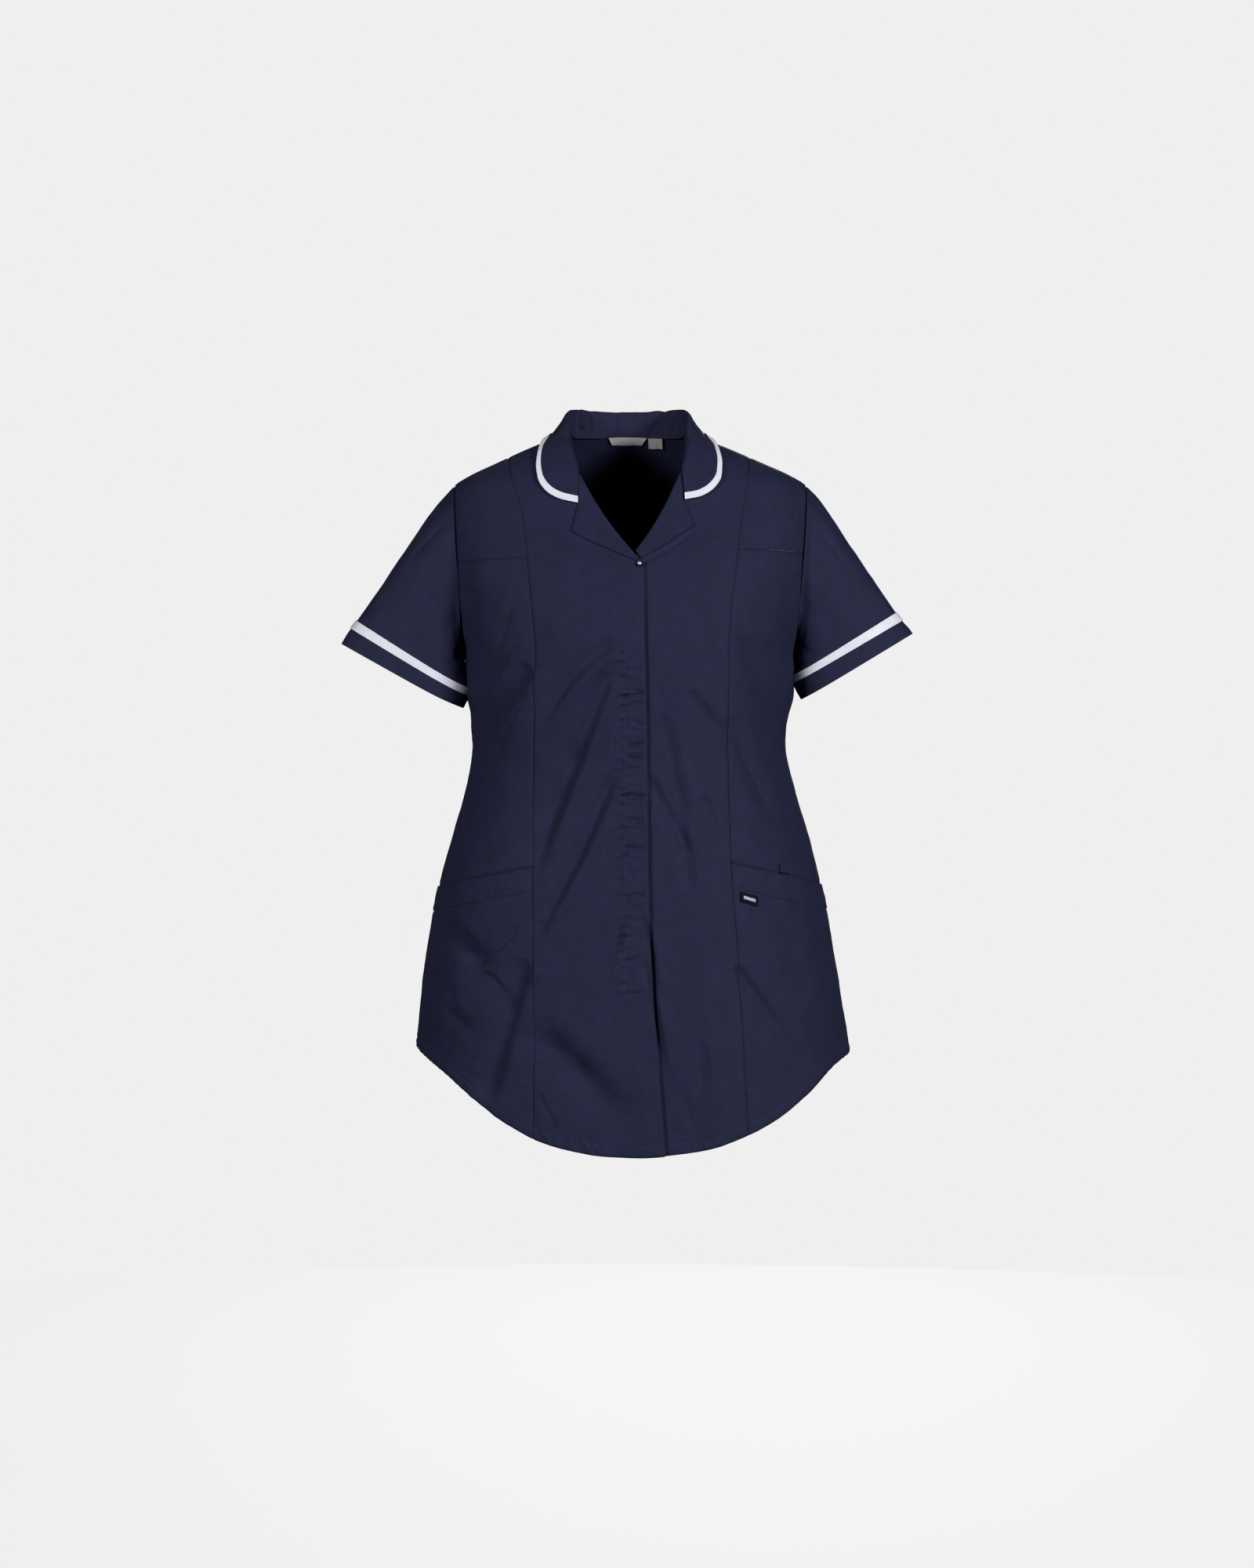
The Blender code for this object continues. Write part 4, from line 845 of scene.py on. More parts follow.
def crease_relief(x, y, creases):
    """The height of creases at points (x, y), all in metres; troughs are below 0, their ridges above."""
    x, y = x / MM, y / MM
    relief = 0.0 * x
    for x0, y0, x1, y1, x2, y2, width, deep, ridge in creases:
        width, deep = width * CREASE_WIDTH, deep * sizes().crease_depth
        t = np.linspace(0, 1, CREASE_STEPS + 1)
        cx, cy = (
            (1 - t) ** 2 * a + 2 * t * (1 - t) * b + t * t * c for a, b, c in ((x0, x1, x2), (y0, y1, y2))
        )
        reach = 4 * width
        near = (x > cx.min() - reach) & (x < cx.max() + reach)
        near &= (y > cy.min() - reach) & (y < cy.max() + reach)
        px, py = x[near], y[near]
        best = np.full(px.shape, 1e9)
        signed, share = np.zeros(px.shape), np.zeros(px.shape)
        for i in range(CREASE_STEPS):
            dx, dy = cx[i + 1] - cx[i], cy[i + 1] - cy[i]
            run = dx * dx + dy * dy
            s = np.clip(((px - cx[i]) * dx + (py - cy[i]) * dy) / run, 0, 1)
            ox, oy = px - cx[i] - s * dx, py - cy[i] - s * dy
            away = ox * ox + oy * oy
            closer = away < best
            best = np.where(closer, away, best)
            signed = np.where(closer, (ox * dy - oy * dx) / math.sqrt(run), signed)
            share = np.where(closer, (i + s) / CREASE_STEPS, share)
        step = ridge == 2
        fade = np.clip(share / (0.1 if step else 0.3), 0, 1) * np.clip((1 - share) / 0.45, 0, 1)
        fade = 0.12 + 0.88 * fade * (2 - fade)
        if step:
            relief[near] += 2.33 * deep * fade * signed / width * np.exp(-best / width**2)
            continue
        # A narrow crease has a sharp core, and a wide one is a round trough
        core = max(0.34 * width, 1.9)
        sharp = 0.7 * min(max((11 - width) / 4, 0), 1)
        trough = (1 - sharp) * np.exp(-best / width**2) + sharp * fade * np.exp(-best / core**2)
        beside = np.exp(-((signed - math.copysign(1.8 * width, ridge)) ** 2) / (1.3 * width) ** 2)
        beside = beside * np.exp(-(best - signed**2) / width**2)
        relief[near] += deep * fade * (abs(ridge) * beside - trough)
    return MM * relief


def scaled(creases, across, down):
    """Creases given as places across and down, with those places in millimetres."""
    scale = np.array([across, down] * 3 + [MM] * 3) / MM
    return [tuple(scale * np.array(crease)) for crease in creases]


def pucker(run, seed, spacing, width, start=0.0):
    """An uneven row of small ridges at lengths run along a seam, from 0 to about 1."""
    rng = np.random.default_rng(seed)
    places = np.cumsum(rng.uniform(0.55, 1.6, 160) * spacing) + start - spacing
    heights = rng.uniform(0.25, 1.0, 160)
    widths = width * rng.uniform(0.75, 1.35, 160)
    height = 0.0 * run
    for place, high, wide in zip(places, heights, widths):
        if place > run.max() + spacing:
            break
        height += high * np.exp(-(((run - place) / wide) ** 2))
    return height


def slight_waves(x, y, seed, high, shortest, longest):
    """Slight uneven waves of a cloth that isn't quite flat, longer down than across."""
    rng = np.random.default_rng(seed)
    waves = 0.0 * x
    for _ in range(WAVES):
        long, angle, phase = rng.uniform(shortest, longest), rng.normal(0.0, 0.55), rng.uniform(0, math.tau)
        along_it = x * math.cos(angle) + y * math.sin(angle)
        waves += np.sin(math.tau * along_it / long + phase + 1.3 * np.sin(math.tau * y / (2.3 * long)))
    return high * waves / math.sqrt(WAVES)


def both_waves(x, y, seed, broad=1.0):
    """The broad waves, as high as asked for, with the fine ones."""
    return broad * slight_waves(x, y, seed, *BROAD_WAVES) + slight_waves(x, y, seed + 10, *FINE_WAVES)


# Seams of the body, as (turn, drop)

def armhole(share, behind=False):
    """The armhole seam of the wearer's left side, from 0 at the shoulder tip to 1 at the underarm."""
    drop = SHOULDER_TIP_DROP + (UNDERARM_DROP - SHOULDER_TIP_DROP) * (1 - np.cos(math.pi * share)) / 2
    across = read(BODY, "centre", drop) + read(ARMHOLE, "across", drop)
    turn = turn_at(across, drop, behind)
    turn = np.where((share <= 0) | (share >= 1), QUARTER, turn)
    return np.stack([turn, drop], axis=-1)


def armhole_share(drop):
    """How far down the armhole seam a drop is, from 0 to 1."""
    part = (drop - SHOULDER_TIP_DROP) / (UNDERARM_DROP - SHOULDER_TIP_DROP)
    return math.acos(1 - 2 * part) / math.pi


def on_side(side, places):
    """Places given for the wearer's left, on the side asked for."""
    return places * np.array([side, 1.0])


def hem_drop(turn):
    """The drop of the hem at a turn; behind, it is a plain curve between the side seams."""
    sine = np.sin(turn)
    share = np.sign(sine) * np.abs(sine) ** (2 / ROUNDNESS)
    rise = smooth(HEM["share"], HEM["rise"], share)
    corner = np.where(sine > 0, HEM["rise"][-1], HEM["rise"][0])
    return HEM_DROP - np.where(np.cos(turn) >= 0, rise, corner * share**2)


def hem_run(start_turn, end_turn, count):
    """The hem between two turns."""
    turns = np.linspace(start_turn, end_turn, count + 1)
    return np.stack([turns, hem_drop(turns)], axis=-1)


def side_seam(side, start, end, count):
    """The side seam, or the shoulder seam, between two drops."""
    return between((side * QUARTER, start), (side * QUARTER, end), count)


def neck_drop(turn):
    """The drop of the neck's edge at turns from the gorge to the centre back."""
    drops = np.linspace(NECK_DROP, NECKLINE["drop"][-1], 60)
    turns = turn_at(read(BODY, "centre", drops) + read(NECKLINE, "across", drops), drops)
    turns[0] = QUARTER
    front = np.interp(turn, turns[::-1], drops[::-1])
    return np.where(turn < QUARTER, front, smooth(BACK_NECKLINE["turn"], BACK_NECKLINE["drop"], turn))


def princess_run(side, start, end, count):
    """The princess seam between two drops."""
    drops = np.linspace(start, end, count + 1)
    turns = turn_at(read(PRINCESS[side], "across", drops), drops)
    turns = np.where(drops <= PRINCESS_TOP_DROP, side * QUARTER, turns)
    return np.stack([turns, drops], axis=-1)


def princess_seam(side):
    """The whole princess seam: to the chest seam, to the pocket's mouth, to the hem."""
    chest, mouth = CHEST_SEAM_DROP[side][0], POCKET_MOUTH_DROP[side][0]
    hem = PRINCESS_HEM_DROP[side]
    return joined(
        princess_run(side, PRINCESS_TOP_DROP, chest, ARMHOLE_ROWS[0]),
        princess_run(side, chest, mouth, ARMHOLE_ROWS[1] + SIDE_ROWS[0]),
        princess_run(side, mouth, hem, SIDE_ROWS[1]),
    )


def armhole_run(side, start, end, count):
    """The front half of an armhole between two shares of its length."""
    return on_side(side, armhole(np.linspace(start, end, count + 1)))


def roll_line(side, share, aside=0.0):
    """(across, drop) on a lapel's roll line, moved aside on to the front."""
    start, end = np.array(ROLL_TOP[side]), np.array(ROLL_END[side])
    run = unit(end - start)
    toward_panel = np.array([side * run[1], -side * run[0]])
    share = np.asarray(share, float)[..., None]
    bow = ROLL_BOW[side] * np.sin(math.pi * share)
    return (1 - share) * start + share * end + (aside + bow) * toward_panel


def front_inner_edge(side):
    """The neckline, the roll line and the front edge of a front, from the neck point to the hem."""
    neck_rows, roll_rows = SHOULDER_ROWS
    roll = roll_line(side, np.linspace(0, 1, roll_rows + 1), ROLL_SHY)
    neck_drops = np.linspace(NECK_DROP, roll[0, 1], neck_rows + 1)
    neck_across = read(BODY, "centre", neck_drops) + side * read(NECKLINE, "across", neck_drops)
    neck = np.stack([neck_across, neck_drops], axis=-1)
    neck[-1] = roll[0]
    lap = 0.0 if side == RIGHT else LAP
    levels = joined(
        between(roll[-1, 1:], (EDGE_CORNER_DROP,), 1),
        between((EDGE_CORNER_DROP,), (POCKET_MOUTH_DROP[side][0],), ARMHOLE_ROWS[1] + SIDE_ROWS[0] - 1),
        between((POCKET_MOUTH_DROP[side][0],), (HEM_DROP,), SIDE_ROWS[1]),
    )[:, 0]
    edge = np.stack([read(FRONT_EDGE, "across", levels) - lap, levels], axis=-1)
    edge[0] = roll[-1]
    places = places_at(joined(neck, roll, edge))
    places[0] = (side * QUARTER, NECK_DROP)
    places[-1, 1] = hem_drop(places[-1, 0])
    return places


def lap_lift(side, places):
    """The left front dips under the right one where they lap."""
    if side == RIGHT:
        return 0.0 * places[..., 0]
    across = form(places[..., 0], places[..., 1])[..., 0]
    start, end = LAP_FADE
    share = np.clip((end - across) / (end - start), 0, 1)
    return UNDER_LAP * share * share * (3 - 2 * share)


def front_places(side):
    """A front between its princess seam and its edge."""
    outer_seam, inner_edge = princess_seam(side), front_inner_edge(side)
    shoulder = side_seam(side, PRINCESS_TOP_DROP, NECK_DROP, FRONT_COLUMNS)
    hem = hem_run(outer_seam[-1, 0], inner_edge[-1, 0], FRONT_COLUMNS)
    outer_seam[-1] = hem[0]
    return patch(shoulder, hem, outer_seam, inner_edge)


def chest_seam(side):
    """The short seam across a side front."""
    princess_drop, armhole_drop = CHEST_SEAM_DROP[side]
    start = princess_run(side, princess_drop, princess_drop, 1)[0]
    end = on_side(side, armhole(np.array(armhole_share(armhole_drop))))
    return between(start, end, SIDE_COLUMNS)


def pocket_mouth(side):
    """The pocket's slanted mouth, straight from the princess seam to the side seam."""
    start_drop, end_drop = POCKET_MOUTH_DROP[side]
    start = (read(PRINCESS[side], "across", start_drop), start_drop)
    end = (form(np.array(side * QUARTER), np.array(end_drop))[0], end_drop)
    return places_at(between(start, end, SIDE_COLUMNS))


def side_upper_places(side):
    """The shoulder part of a side front, above the chest seam."""
    share = armhole_share(CHEST_SEAM_DROP[side][1])
    shoulder = side_seam(side, PRINCESS_TOP_DROP, SHOULDER_TIP_DROP, SIDE_COLUMNS)
    first = princess_seam(side)[: ARMHOLE_ROWS[0] + 1]
    last = armhole_run(side, 0, share, ARMHOLE_ROWS[0])
    return patch(shoulder, chest_seam(side), first, last)


def side_lower_places(side):
    """A side front below the chest seam: down to the pocket's mouth, then down to the hem."""
    share = armhole_share(CHEST_SEAM_DROP[side][1])
    mouth_end = POCKET_MOUTH_DROP[side][1]
    princess = princess_seam(side)[ARMHOLE_ROWS[0] :]
    split = ARMHOLE_ROWS[1] + SIDE_ROWS[0]
    mouth = pocket_mouth(side)
    hem = hem_run(princess[-1, 0], side * QUARTER, SIDE_COLUMNS)
    princess[-1] = hem[0]
    outer_seam = joined(
        armhole_run(side, share, 1, ARMHOLE_ROWS[1]),
        side_seam(side, UNDERARM_DROP, mouth_end, SIDE_ROWS[0]),
    )
    above = patch(chest_seam(side), mouth, princess[: split + 1], outer_seam)
    below = patch(
        mouth, hem, princess[split:], side_seam(side, mouth_end, hem[-1, 1], SIDE_ROWS[1])
    )
    return above, below


def back_places():
    """The back, in one piece from side seam to side seam."""
    shoulder_columns, neck_columns = BACK_COLUMNS
    share = np.linspace(0, 1, BACK_ARMHOLE_ROWS + 1)
    left_drop, right_drop = hem_drop(QUARTER), hem_drop(-QUARTER)
    left, right = (
        joined(armhole(share, behind=True), side_seam(LEFT, UNDERARM_DROP, drop, BACK_SIDE_ROWS))
        for drop in (left_drop, right_drop)
    )
    across_the_back = np.array([math.tau, 0.0])
    right = on_side(RIGHT, right) + across_the_back
    shoulder = side_seam(LEFT, SHOULDER_TIP_DROP, NECK_DROP, shoulder_columns)
    turns = np.linspace(QUARTER, 3 * QUARTER, neck_columns + 1)
    folded = math.pi - np.abs(turns - math.pi)
    neck = np.stack([turns, smooth(BACK_NECKLINE["turn"], BACK_NECKLINE["drop"], folded)], axis=-1)
    other_shoulder = on_side(RIGHT, shoulder[::-1]) + across_the_back
    columns = 2 * shoulder_columns + neck_columns
    hem = hem_run(QUARTER, 3 * QUARTER, columns)
    hem[0, 1], hem[-1, 1] = left_drop, right_drop
    return patch(joined(shoulder, neck, other_shoulder), hem, left, right)


def armhole_loop(side):
    """The armhole as a loop of points: down its front from the shoulder tip, and up its back."""
    share = armhole_share(CHEST_SEAM_DROP[side][1])
    front = joined(
        np.linspace(0, share, ARMHOLE_ROWS[0] + 1)[:, None],
        np.linspace(share, 1, ARMHOLE_ROWS[1] + 1)[:, None],
    )[:, 0]
    back = np.linspace(1, 0, BACK_ARMHOLE_ROWS + 1)[1:-1]
    places = np.concatenate([armhole(front), armhole(back, behind=True)])
    phases = math.pi * np.concatenate([front, 2 - back])
    return on_side(side, places), phases


def sleeve_rings(side):
    """Rings of points from the armhole to the cuff."""
    places, phases = armhole_loop(side)
    power = 2 / SLEEVE_ROUNDNESS
    cosine = np.sign(np.cos(phases)) * np.abs(np.cos(phases)) ** power
    sine = np.sign(np.sin(phases)) * np.abs(np.sin(phases)) ** power
    rows = SLEEVE[side]
    rings = []
    last = len(rows["outer"]) - 1
    for i in range(last + 1):
        outer = np.array([side * rows["outer"][i], 0.0, -rows["outer_drop"][i]])
        inner = np.array([side * rows["inner"][i], 0.0, -rows["inner_drop"][i]])
        middle = (outer + inner) / 2 - np.array([0.0, rows["forward"][i], 0.0])
        depth = np.where(sine > 0, rows["front"][i], rows["back"][i])
        ring = middle + cosine[:, None] * (outer - inner) / 2
        ring[:, 1] -= depth * sine
        ring[:, 2] += np.where(sine < 0, -sine, 0) * CUFF_BACK_RISE * i / last
        rings.append(ring)
    start = on_form(places)
    return np.stack([start + SLEEVE_START * unit(rings[0] - start)] + rings)


def clear_of_body(points, lift):
    """Moves points out until they stand at least a lift off the form."""
    def level(p):
        """How far out a point is: 1 on the form, more outside it."""
        drop = -p[..., 2]
        wide = np.abs(p[..., 0] - read(BODY, "centre", drop)) / read(BODY, "half_width", drop)
        deep = np.where(p[..., 1] < 0, read(BODY, "front", drop), read(BODY, "back", drop))
        return (wide**ROUNDNESS + (np.abs(p[..., 1]) / deep) ** ROUNDNESS) ** (1 / ROUNDNESS)

    probe = 0.0005
    for _ in range(6):
        slope = np.stack(
            [(level(points + probe * e) - level(points - probe * e)) / (2 * probe) for e in np.eye(3)],
            axis=-1,
        )
        steep = np.linalg.norm(slope, axis=-1)
        short = np.clip(lift - (level(points) - 1) / steep, 0, None)
        points = points + slope * (short / steep)[..., None]
    return points


def collar_half(side):
    """Sections of the collar from the centre back to a gorge: seam, stand, fold, fall, edge."""
    def spot(name):
        """The points of one of the collar's lines."""
        drop = COLLAR[f"{name}_drop"]
        centre = read(BODY, "centre", np.maximum(drop, 0))
        across = centre + side * COLLAR[f"{name}_across"]
        return np.stack([across, COLLAR[f"{name}_deep"], -drop], axis=-1)

    turns = np.radians(COLLAR["seam_turn"])
    seam = form(side * turns, neck_drop(turns))
    seam[:, :2] *= 1 - COLLAR_SEAM_IN / np.linalg.norm(seam[:, :2], axis=-1, keepdims=True)
    seam[:, 2] -= COLLAR_SEAM_DOWN
    roll, edge = spot("roll"), spot("edge")
    edge += COLLAR_LONGER[side] * COLLAR["longer"][:, None] * unit(edge - roll)
    edge[-1] = on_form(places_at(LAPEL_NOTCH[side]), LAPEL_LIFT)
    radius = COLLAR["fold"][:, None]
    down_seam, down_edge = unit(seam - roll), unit(edge - roll)
    inward = unit(down_seam - down_edge)
    down = unit(down_seam + down_edge)
    fold_in = roll + radius * (down + inward)
    fold_out = roll + radius * (down - inward)
    stand = (seam + fold_in) / 2
    fall = [fold_out + share * (edge - fold_out) for share in COLLAR_FALL]
    fall = [clear_of_body(points, COLLAR["clear"] + CLOTH) for points in fall]
    gorge = between(roll_line(side, 0, LAPEL_FOLD), LAPEL_NOTCH[side], len(fall) - 1)
    for points, end in zip(fall, on_form(places_at(gorge), LAPEL_LIFT)):
        points[-1] = end
    return np.stack([seam, stand, fold_in, roll] + fall)


def collar_points():
    """The whole collar: sections as rows, from the right gorge round the back to the left one."""
    right, left = collar_half(RIGHT), collar_half(LEFT)
    return np.concatenate([right[:, ::-1], left[:, 1:]], axis=1)


# What the cloth does on each panel

def across_of(places):
    """Distance across at places on the form."""
    return form(places[..., 0], places[..., 1])[..., 0]


def window(value, start, end, soft):
    """1 between start and end, falling softly to 0 outside."""
    return 1 / (1 + np.exp(-(value - start) / soft)) / (1 + np.exp((value - end) / soft))


def groove(away, deep, width):
    """How far a line sinks at distances from it."""
    return deep * np.exp(-((away / width) ** 2))


def front_relief(side, places):
    """Creases, slight waves, the hem and the long seam's puckers on any panel of the front."""
    turn, drop = places[..., 0], places[..., 1]
    x = across_of(places)
    relief = crease_relief(x, drop, FRONT_CREASES)
    relief *= SIDE_CREASES + (1 - SIDE_CREASES) * window(x, *FRONT_PANELS)
    relief += both_waves(x, drop, 5) * window(drop, *FRONT_WAVES)
    return relief + arm_relief(turn, drop) + hem_relief(turn, drop) + long_seam_relief(side, x, drop)


def arm_relief(turn, drop):
    """The body's cloth spreads a little at the side seams, just below the arms."""
    spread = np.where(turn % math.tau < math.pi, ARM_SPREAD[LEFT], ARM_SPREAD[RIGHT])
    beside = np.abs((np.abs(turn) % math.tau + math.pi) % math.tau - math.pi) - QUARTER
    return groove(beside, spread, ARM_SPREAD_TURN) * window(drop, *ARM_SPREAD_DROPS)


def hem_relief(turn, drop):
    """The turned hem: a little proud, drawn up unevenly by its stitches."""
    above = hem_drop(turn) - drop
    # About 0.20 m of hem to a radian, counted from each side seam so that both its sides agree there
    run = 0.20 * np.abs((turn + 3 * QUARTER) % math.tau - math.pi)
    ropes = 0.0014 * pucker(run + 0.5 * above, *HEM_PUCKERS) * window(above, -0.01, 0.016, 0.0025)
    return ropes - groove(above - HEM_STITCH, *HEM_SINK)


def long_seam_relief(side, x, drop):
    """Short uneven puckers beside the long seams, more of them low down."""
    away = np.abs(x - read(PRINCESS[side], "across", drop))
    more = 0.35 + 0.65 * window(drop, 0.30, 0.9, 0.05)
    seed, spacing, width = LONG_SEAM_PUCKERS
    return 0.0005 * more * pucker(drop + 0.4 * away, seed + side, spacing, width) * np.exp(-away / 0.011)


def fly_relief(places):
    """The concealed fly: a second layer, sewn down by two rows, that puckers between them and the edge."""
    x, drop = across_of(places), places[..., 1]
    edge = read(FRONT_EDGE, "across", drop)
    top, bottom = FLY_DROPS
    relief = FLY_LAYER * window(x, FLY_ACROSS, 1.0, 0.0006) * window(drop, top, bottom + 0.004, 0.003)
    for number, (at, start, end, width, deep) in enumerate(FLY_PUCKERS):
        share = np.clip((x / MM - start) / (end - start), 0, 1)
        # Each pucker bends and tilts its own way, by a few millimetres
        bend = 3.2 * math.sin(2.4 * number) * share + 1.6 * math.cos(4.1 * number) * np.sin(math.pi * share)
        away = drop / MM - at - bend
        fold = groove(away - 2.0 * width, 0.5, 1.3 * width) - groove(away, 1.0, width)
        relief += FLY_PUCKER * deep * fold * window(x / MM, start, end, 1.6)
    beside = np.exp(-np.abs(x - BAR_START) / 0.006) * window(drop, 0.21, 0.64, 0.02)
    for high, lean, puckers in FLY_ROPES:
        relief += beside * high * pucker(drop + lean * (x - FLY_ACROSS), *puckers)
    for row in FLY_ROWS:
        relief -= groove(x - row, *FLY_SINK) * window(drop, top, bottom, 0.002)
    for bar_drop, wide in FLY_BARS:
        relief -= groove(drop - bar_drop, *BAR_SINK) * window(x, BAR_START, BAR_START + wide, 0.001)
    relief -= groove(x - edge + 0.0043, *STAND_SINK) * window(drop, 0.170, 0.250, 0.006)
    loft = LAP_LOFT * (1 + 1.4 * window(drop, *LAP_GAPE))
    return relief + loft * window(x, edge - 0.0045, 1.0, 0.0012) * window(drop, *LAP_WINDOW)


def under_lap_relief(places):
    """The under layer, which sinks beside the edge that is lapped over it."""
    x, drop = across_of(places), places[..., 1]
    deep = 0.0016 * (1 + window(drop, *LAP_GAPE)) * window(drop, *LAP_WINDOW)
    return -groove(x - read(FRONT_EDGE, "across", drop) - 0.0012, deep, 0.0036)


def pocket_mouth_distance(side, places):
    """How far below the pocket's mouth a place is."""
    start_drop, end_drop = POCKET_MOUTH_DROP[side]
    start = read(PRINCESS[side], "across", start_drop)
    end = float(form(np.array(side * QUARTER), np.array(end_drop))[0])
    share = (across_of(places) - start) / (end - start)
    return places[..., 1] - (start_drop + share * (end_drop - start_drop))


def pocket_relief(side, places):
    """The pocket's turned mouth, with its row of stitches and uneven puckers above it."""
    below = pocket_mouth_distance(side, places)
    seed, spacing, width = POCKET_PUCKERS
    ropes = pucker(across_of(places) + 0.5 * below, seed + side, spacing, width, start=-0.25)
    relief = 0.0007 * window(below, -0.05, POCKET_TURN, 0.0006) - groove(below - POCKET_TURN, *POCKET_SINK)
    return relief + 0.0009 * ropes * window(below, 0.012, POCKET_TURN + 0.004, 0.003)


def cloth_panel(name, replaced, places, lift, relief, rolled="lrtb", side_trim=SEAM_TRIM):
    """A panel of the body on the form, turned in at the seams named; its outside is kept for stitches."""
    outer = trim(trim(on_form(places, lift), axes=(0,)), side_trim, axes=(1,))
    out = outward(places[..., 0], places[..., 1])
    outer = outer + out * (relief + rolled_edges(outer, rolled))[..., None]
    SURFACES[name] = (outer, places)
    cloth_shell(name, replaced, outer, out)


# The panels of the body

def build_fronts():
    """The two fronts; the right one laps over the left one and carries the fly."""
    for word, side in SIDES.items():
        places = edge_cells(front_places(side))
        lapped = fly_relief(places) if side == RIGHT else under_lap_relief(places)
        relief = front_relief(side, places) + lapped
        cloth_panel(f"{word}_front_cloth", f"front_{word}", places, lap_lift(side, places), relief)


def build_side_fronts():
    """The side fronts, above and below the chest seam, and the pockets on them."""
    for word, side in SIDES.items():
        upper = edge_cells(side_upper_places(side))
        relief = front_relief(side, upper)
        cloth_panel(f"{word}_shoulder_cloth", f"side_front_upper_{word}", upper, 0.0, relief)

        above, below = side_lower_places(side)
        whole = edge_cells(np.concatenate([above, below[1:]]))
        mouth = pocket_mouth_distance(side, whole) + MOUTH_OVER
        relief = front_relief(side, whole) - groove(mouth, *MOUTH_SINK)
        lift = UNDER_POCKET * window(mouth, 0.0, 1.0, 0.0004)
        cloth_panel(f"{word}_side_cloth", f"side_front_lower_{word}", whole, lift, relief)

        pocket = edge_cells(below)
        v, u = shares(*pocket.shape[:2])
        gape = POCKET_GAPE * np.sin(math.pi * u) * np.clip(1 - POCKET_GAPE_FADE * v, 0, 1)
        relief = front_relief(side, pocket) + pocket_relief(side, pocket)
        cloth_panel(f"{word}_pocket_cloth", f"pocket_{word}", pocket, gape, relief, rolled="lrb")


def build_back():
    """The plain back, with folds like those of the front."""
    places = edge_cells(back_places())
    turn, drop = places[..., 0], places[..., 1]
    x = across_of(places)
    relief = crease_relief(x, drop, BACK_CREASES)
    relief += both_waves(x, drop, 6, broad=1.4) * window(drop, *BACK_WAVES)
    relief += arm_relief(turn, drop) + hem_relief(turn, drop)
    cloth_panel("back_cloth", "back", places, 0.0, relief, side_trim=-BACK_REACH)


# Sleeves

def smooth_rows(points, at):
    """Rows of a grid at places between its own rows."""
    rows = np.arange(len(points), dtype=float)
    flat = points.reshape(len(points), -1)
    made = np.stack([smooth(rows, flat[:, i], at) for i in range(flat.shape[1])], axis=1)
    return made.reshape(len(at), *points.shape[1:])


def even_rows(points, count):
    """Places between a grid's rows that are spread evenly by length."""
    fine = np.linspace(0, len(points) - 1, 8 * len(points))
    steps = np.linalg.norm(np.diff(smooth_rows(points, fine), axis=0), axis=-1).mean(axis=1)
    length = np.concatenate([[0], np.cumsum(steps)])
    return np.interp(np.linspace(0, length[-1], count + 1), length, fine)


def sleeve_surface(side, at, with_hem=True):
    """Points and outward directions of a sleeve at places between its rings, creases and hem included."""
    rings = sleeve_rings(side)
    points = smooth_rows(rings, at)
    out = -side * grid_normals(points, ring=True)
    down = np.interp(at, even_rows(rings, SLEEVE_STEPS), np.linspace(0, 1, SLEEVE_STEPS + 1))
    share, phase = np.broadcast_arrays(down[:, None], np.degrees(armhole_loop(side)[1]))
    x, y = DEGREE_ROUND * phase, SLEEVE_LENGTH * share
    relief = crease_relief(x, y, scaled(SLEEVE_CREASES[side], DEGREE_ROUND, SLEEVE_LENGTH))
    relief *= SLEEVE_CREASE * (1 - UNDERSIDE_CALM * window(phase, *UNDERSIDE))
    relief += both_waves(side * x, y, 8) * window(share, *SLEEVE_WAVES)
    if side == LEFT:
        deep, wide, phases = LEFT_TROUGH
        relief -= deep * y / wide * np.exp((1 - (y / wide) ** 2) / 2) * window(phase, *phases)
    if with_hem:
        above = SLEEVE_LENGTH - y
        seed, spacing, width = CUFF_PUCKERS
        ropes = pucker(side * x + 0.4 * above, seed + side, spacing, width, start=-0.45)
        relief += 0.00035 * window(above, -0.05, CUFF_TURN - 0.001, 0.0006)
        relief += 0.00035 * ropes * window(above, 0.004, CUFF_TURN, 0.002)
        relief -= groove(y, *ARMHOLE_SINK)
    points = points + relief[..., None] * out
    hang = groove(phase - 180, SLEEVE_HANG[side], SLEEVE_HANG_PHASE) * np.clip((share - 0.05) / 0.35, 0, 1)
    points[..., 0] -= side * hang
    return points, out


def build_sleeves():
    """The two set-in sleeves and the tape round each cuff."""
    for word, side in SIDES.items():
        at = even_rows(sleeve_rings(side), SLEEVE_RINGS)
        at = np.concatenate([at[:1], at[0] + (at[1] - at[0]) * np.array(ARMHOLE_CELLS), at[1:]])
        sleeve = cloth_shell(f"{word}_sleeve_cloth", f"sleeve_{word}", *sleeve_surface(side, at), ring=True)
        rows = 1 + np.linspace(*TAPE_RINGS[side], TAPE_CELLS + 1)
        band, out = sleeve_surface(side, rows, with_hem=False)
        tape = tape_shell(f"{word}_sleeve_trim", f"sleeve_tape_{word}", band, out, CUFF_TAPE_SWELL, ring=True)


# Collar and lapels

def fine_grid(points, rows, columns):
    """A grid drawn through its own points with more rows and columns, spread evenly by length."""
    points = smooth_rows(points, even_rows(points, rows))
    turned = np.swapaxes(points, 0, 1)
    turned = smooth_rows(turned, even_rows(turned, columns))
    return np.swapaxes(turned, 0, 1)


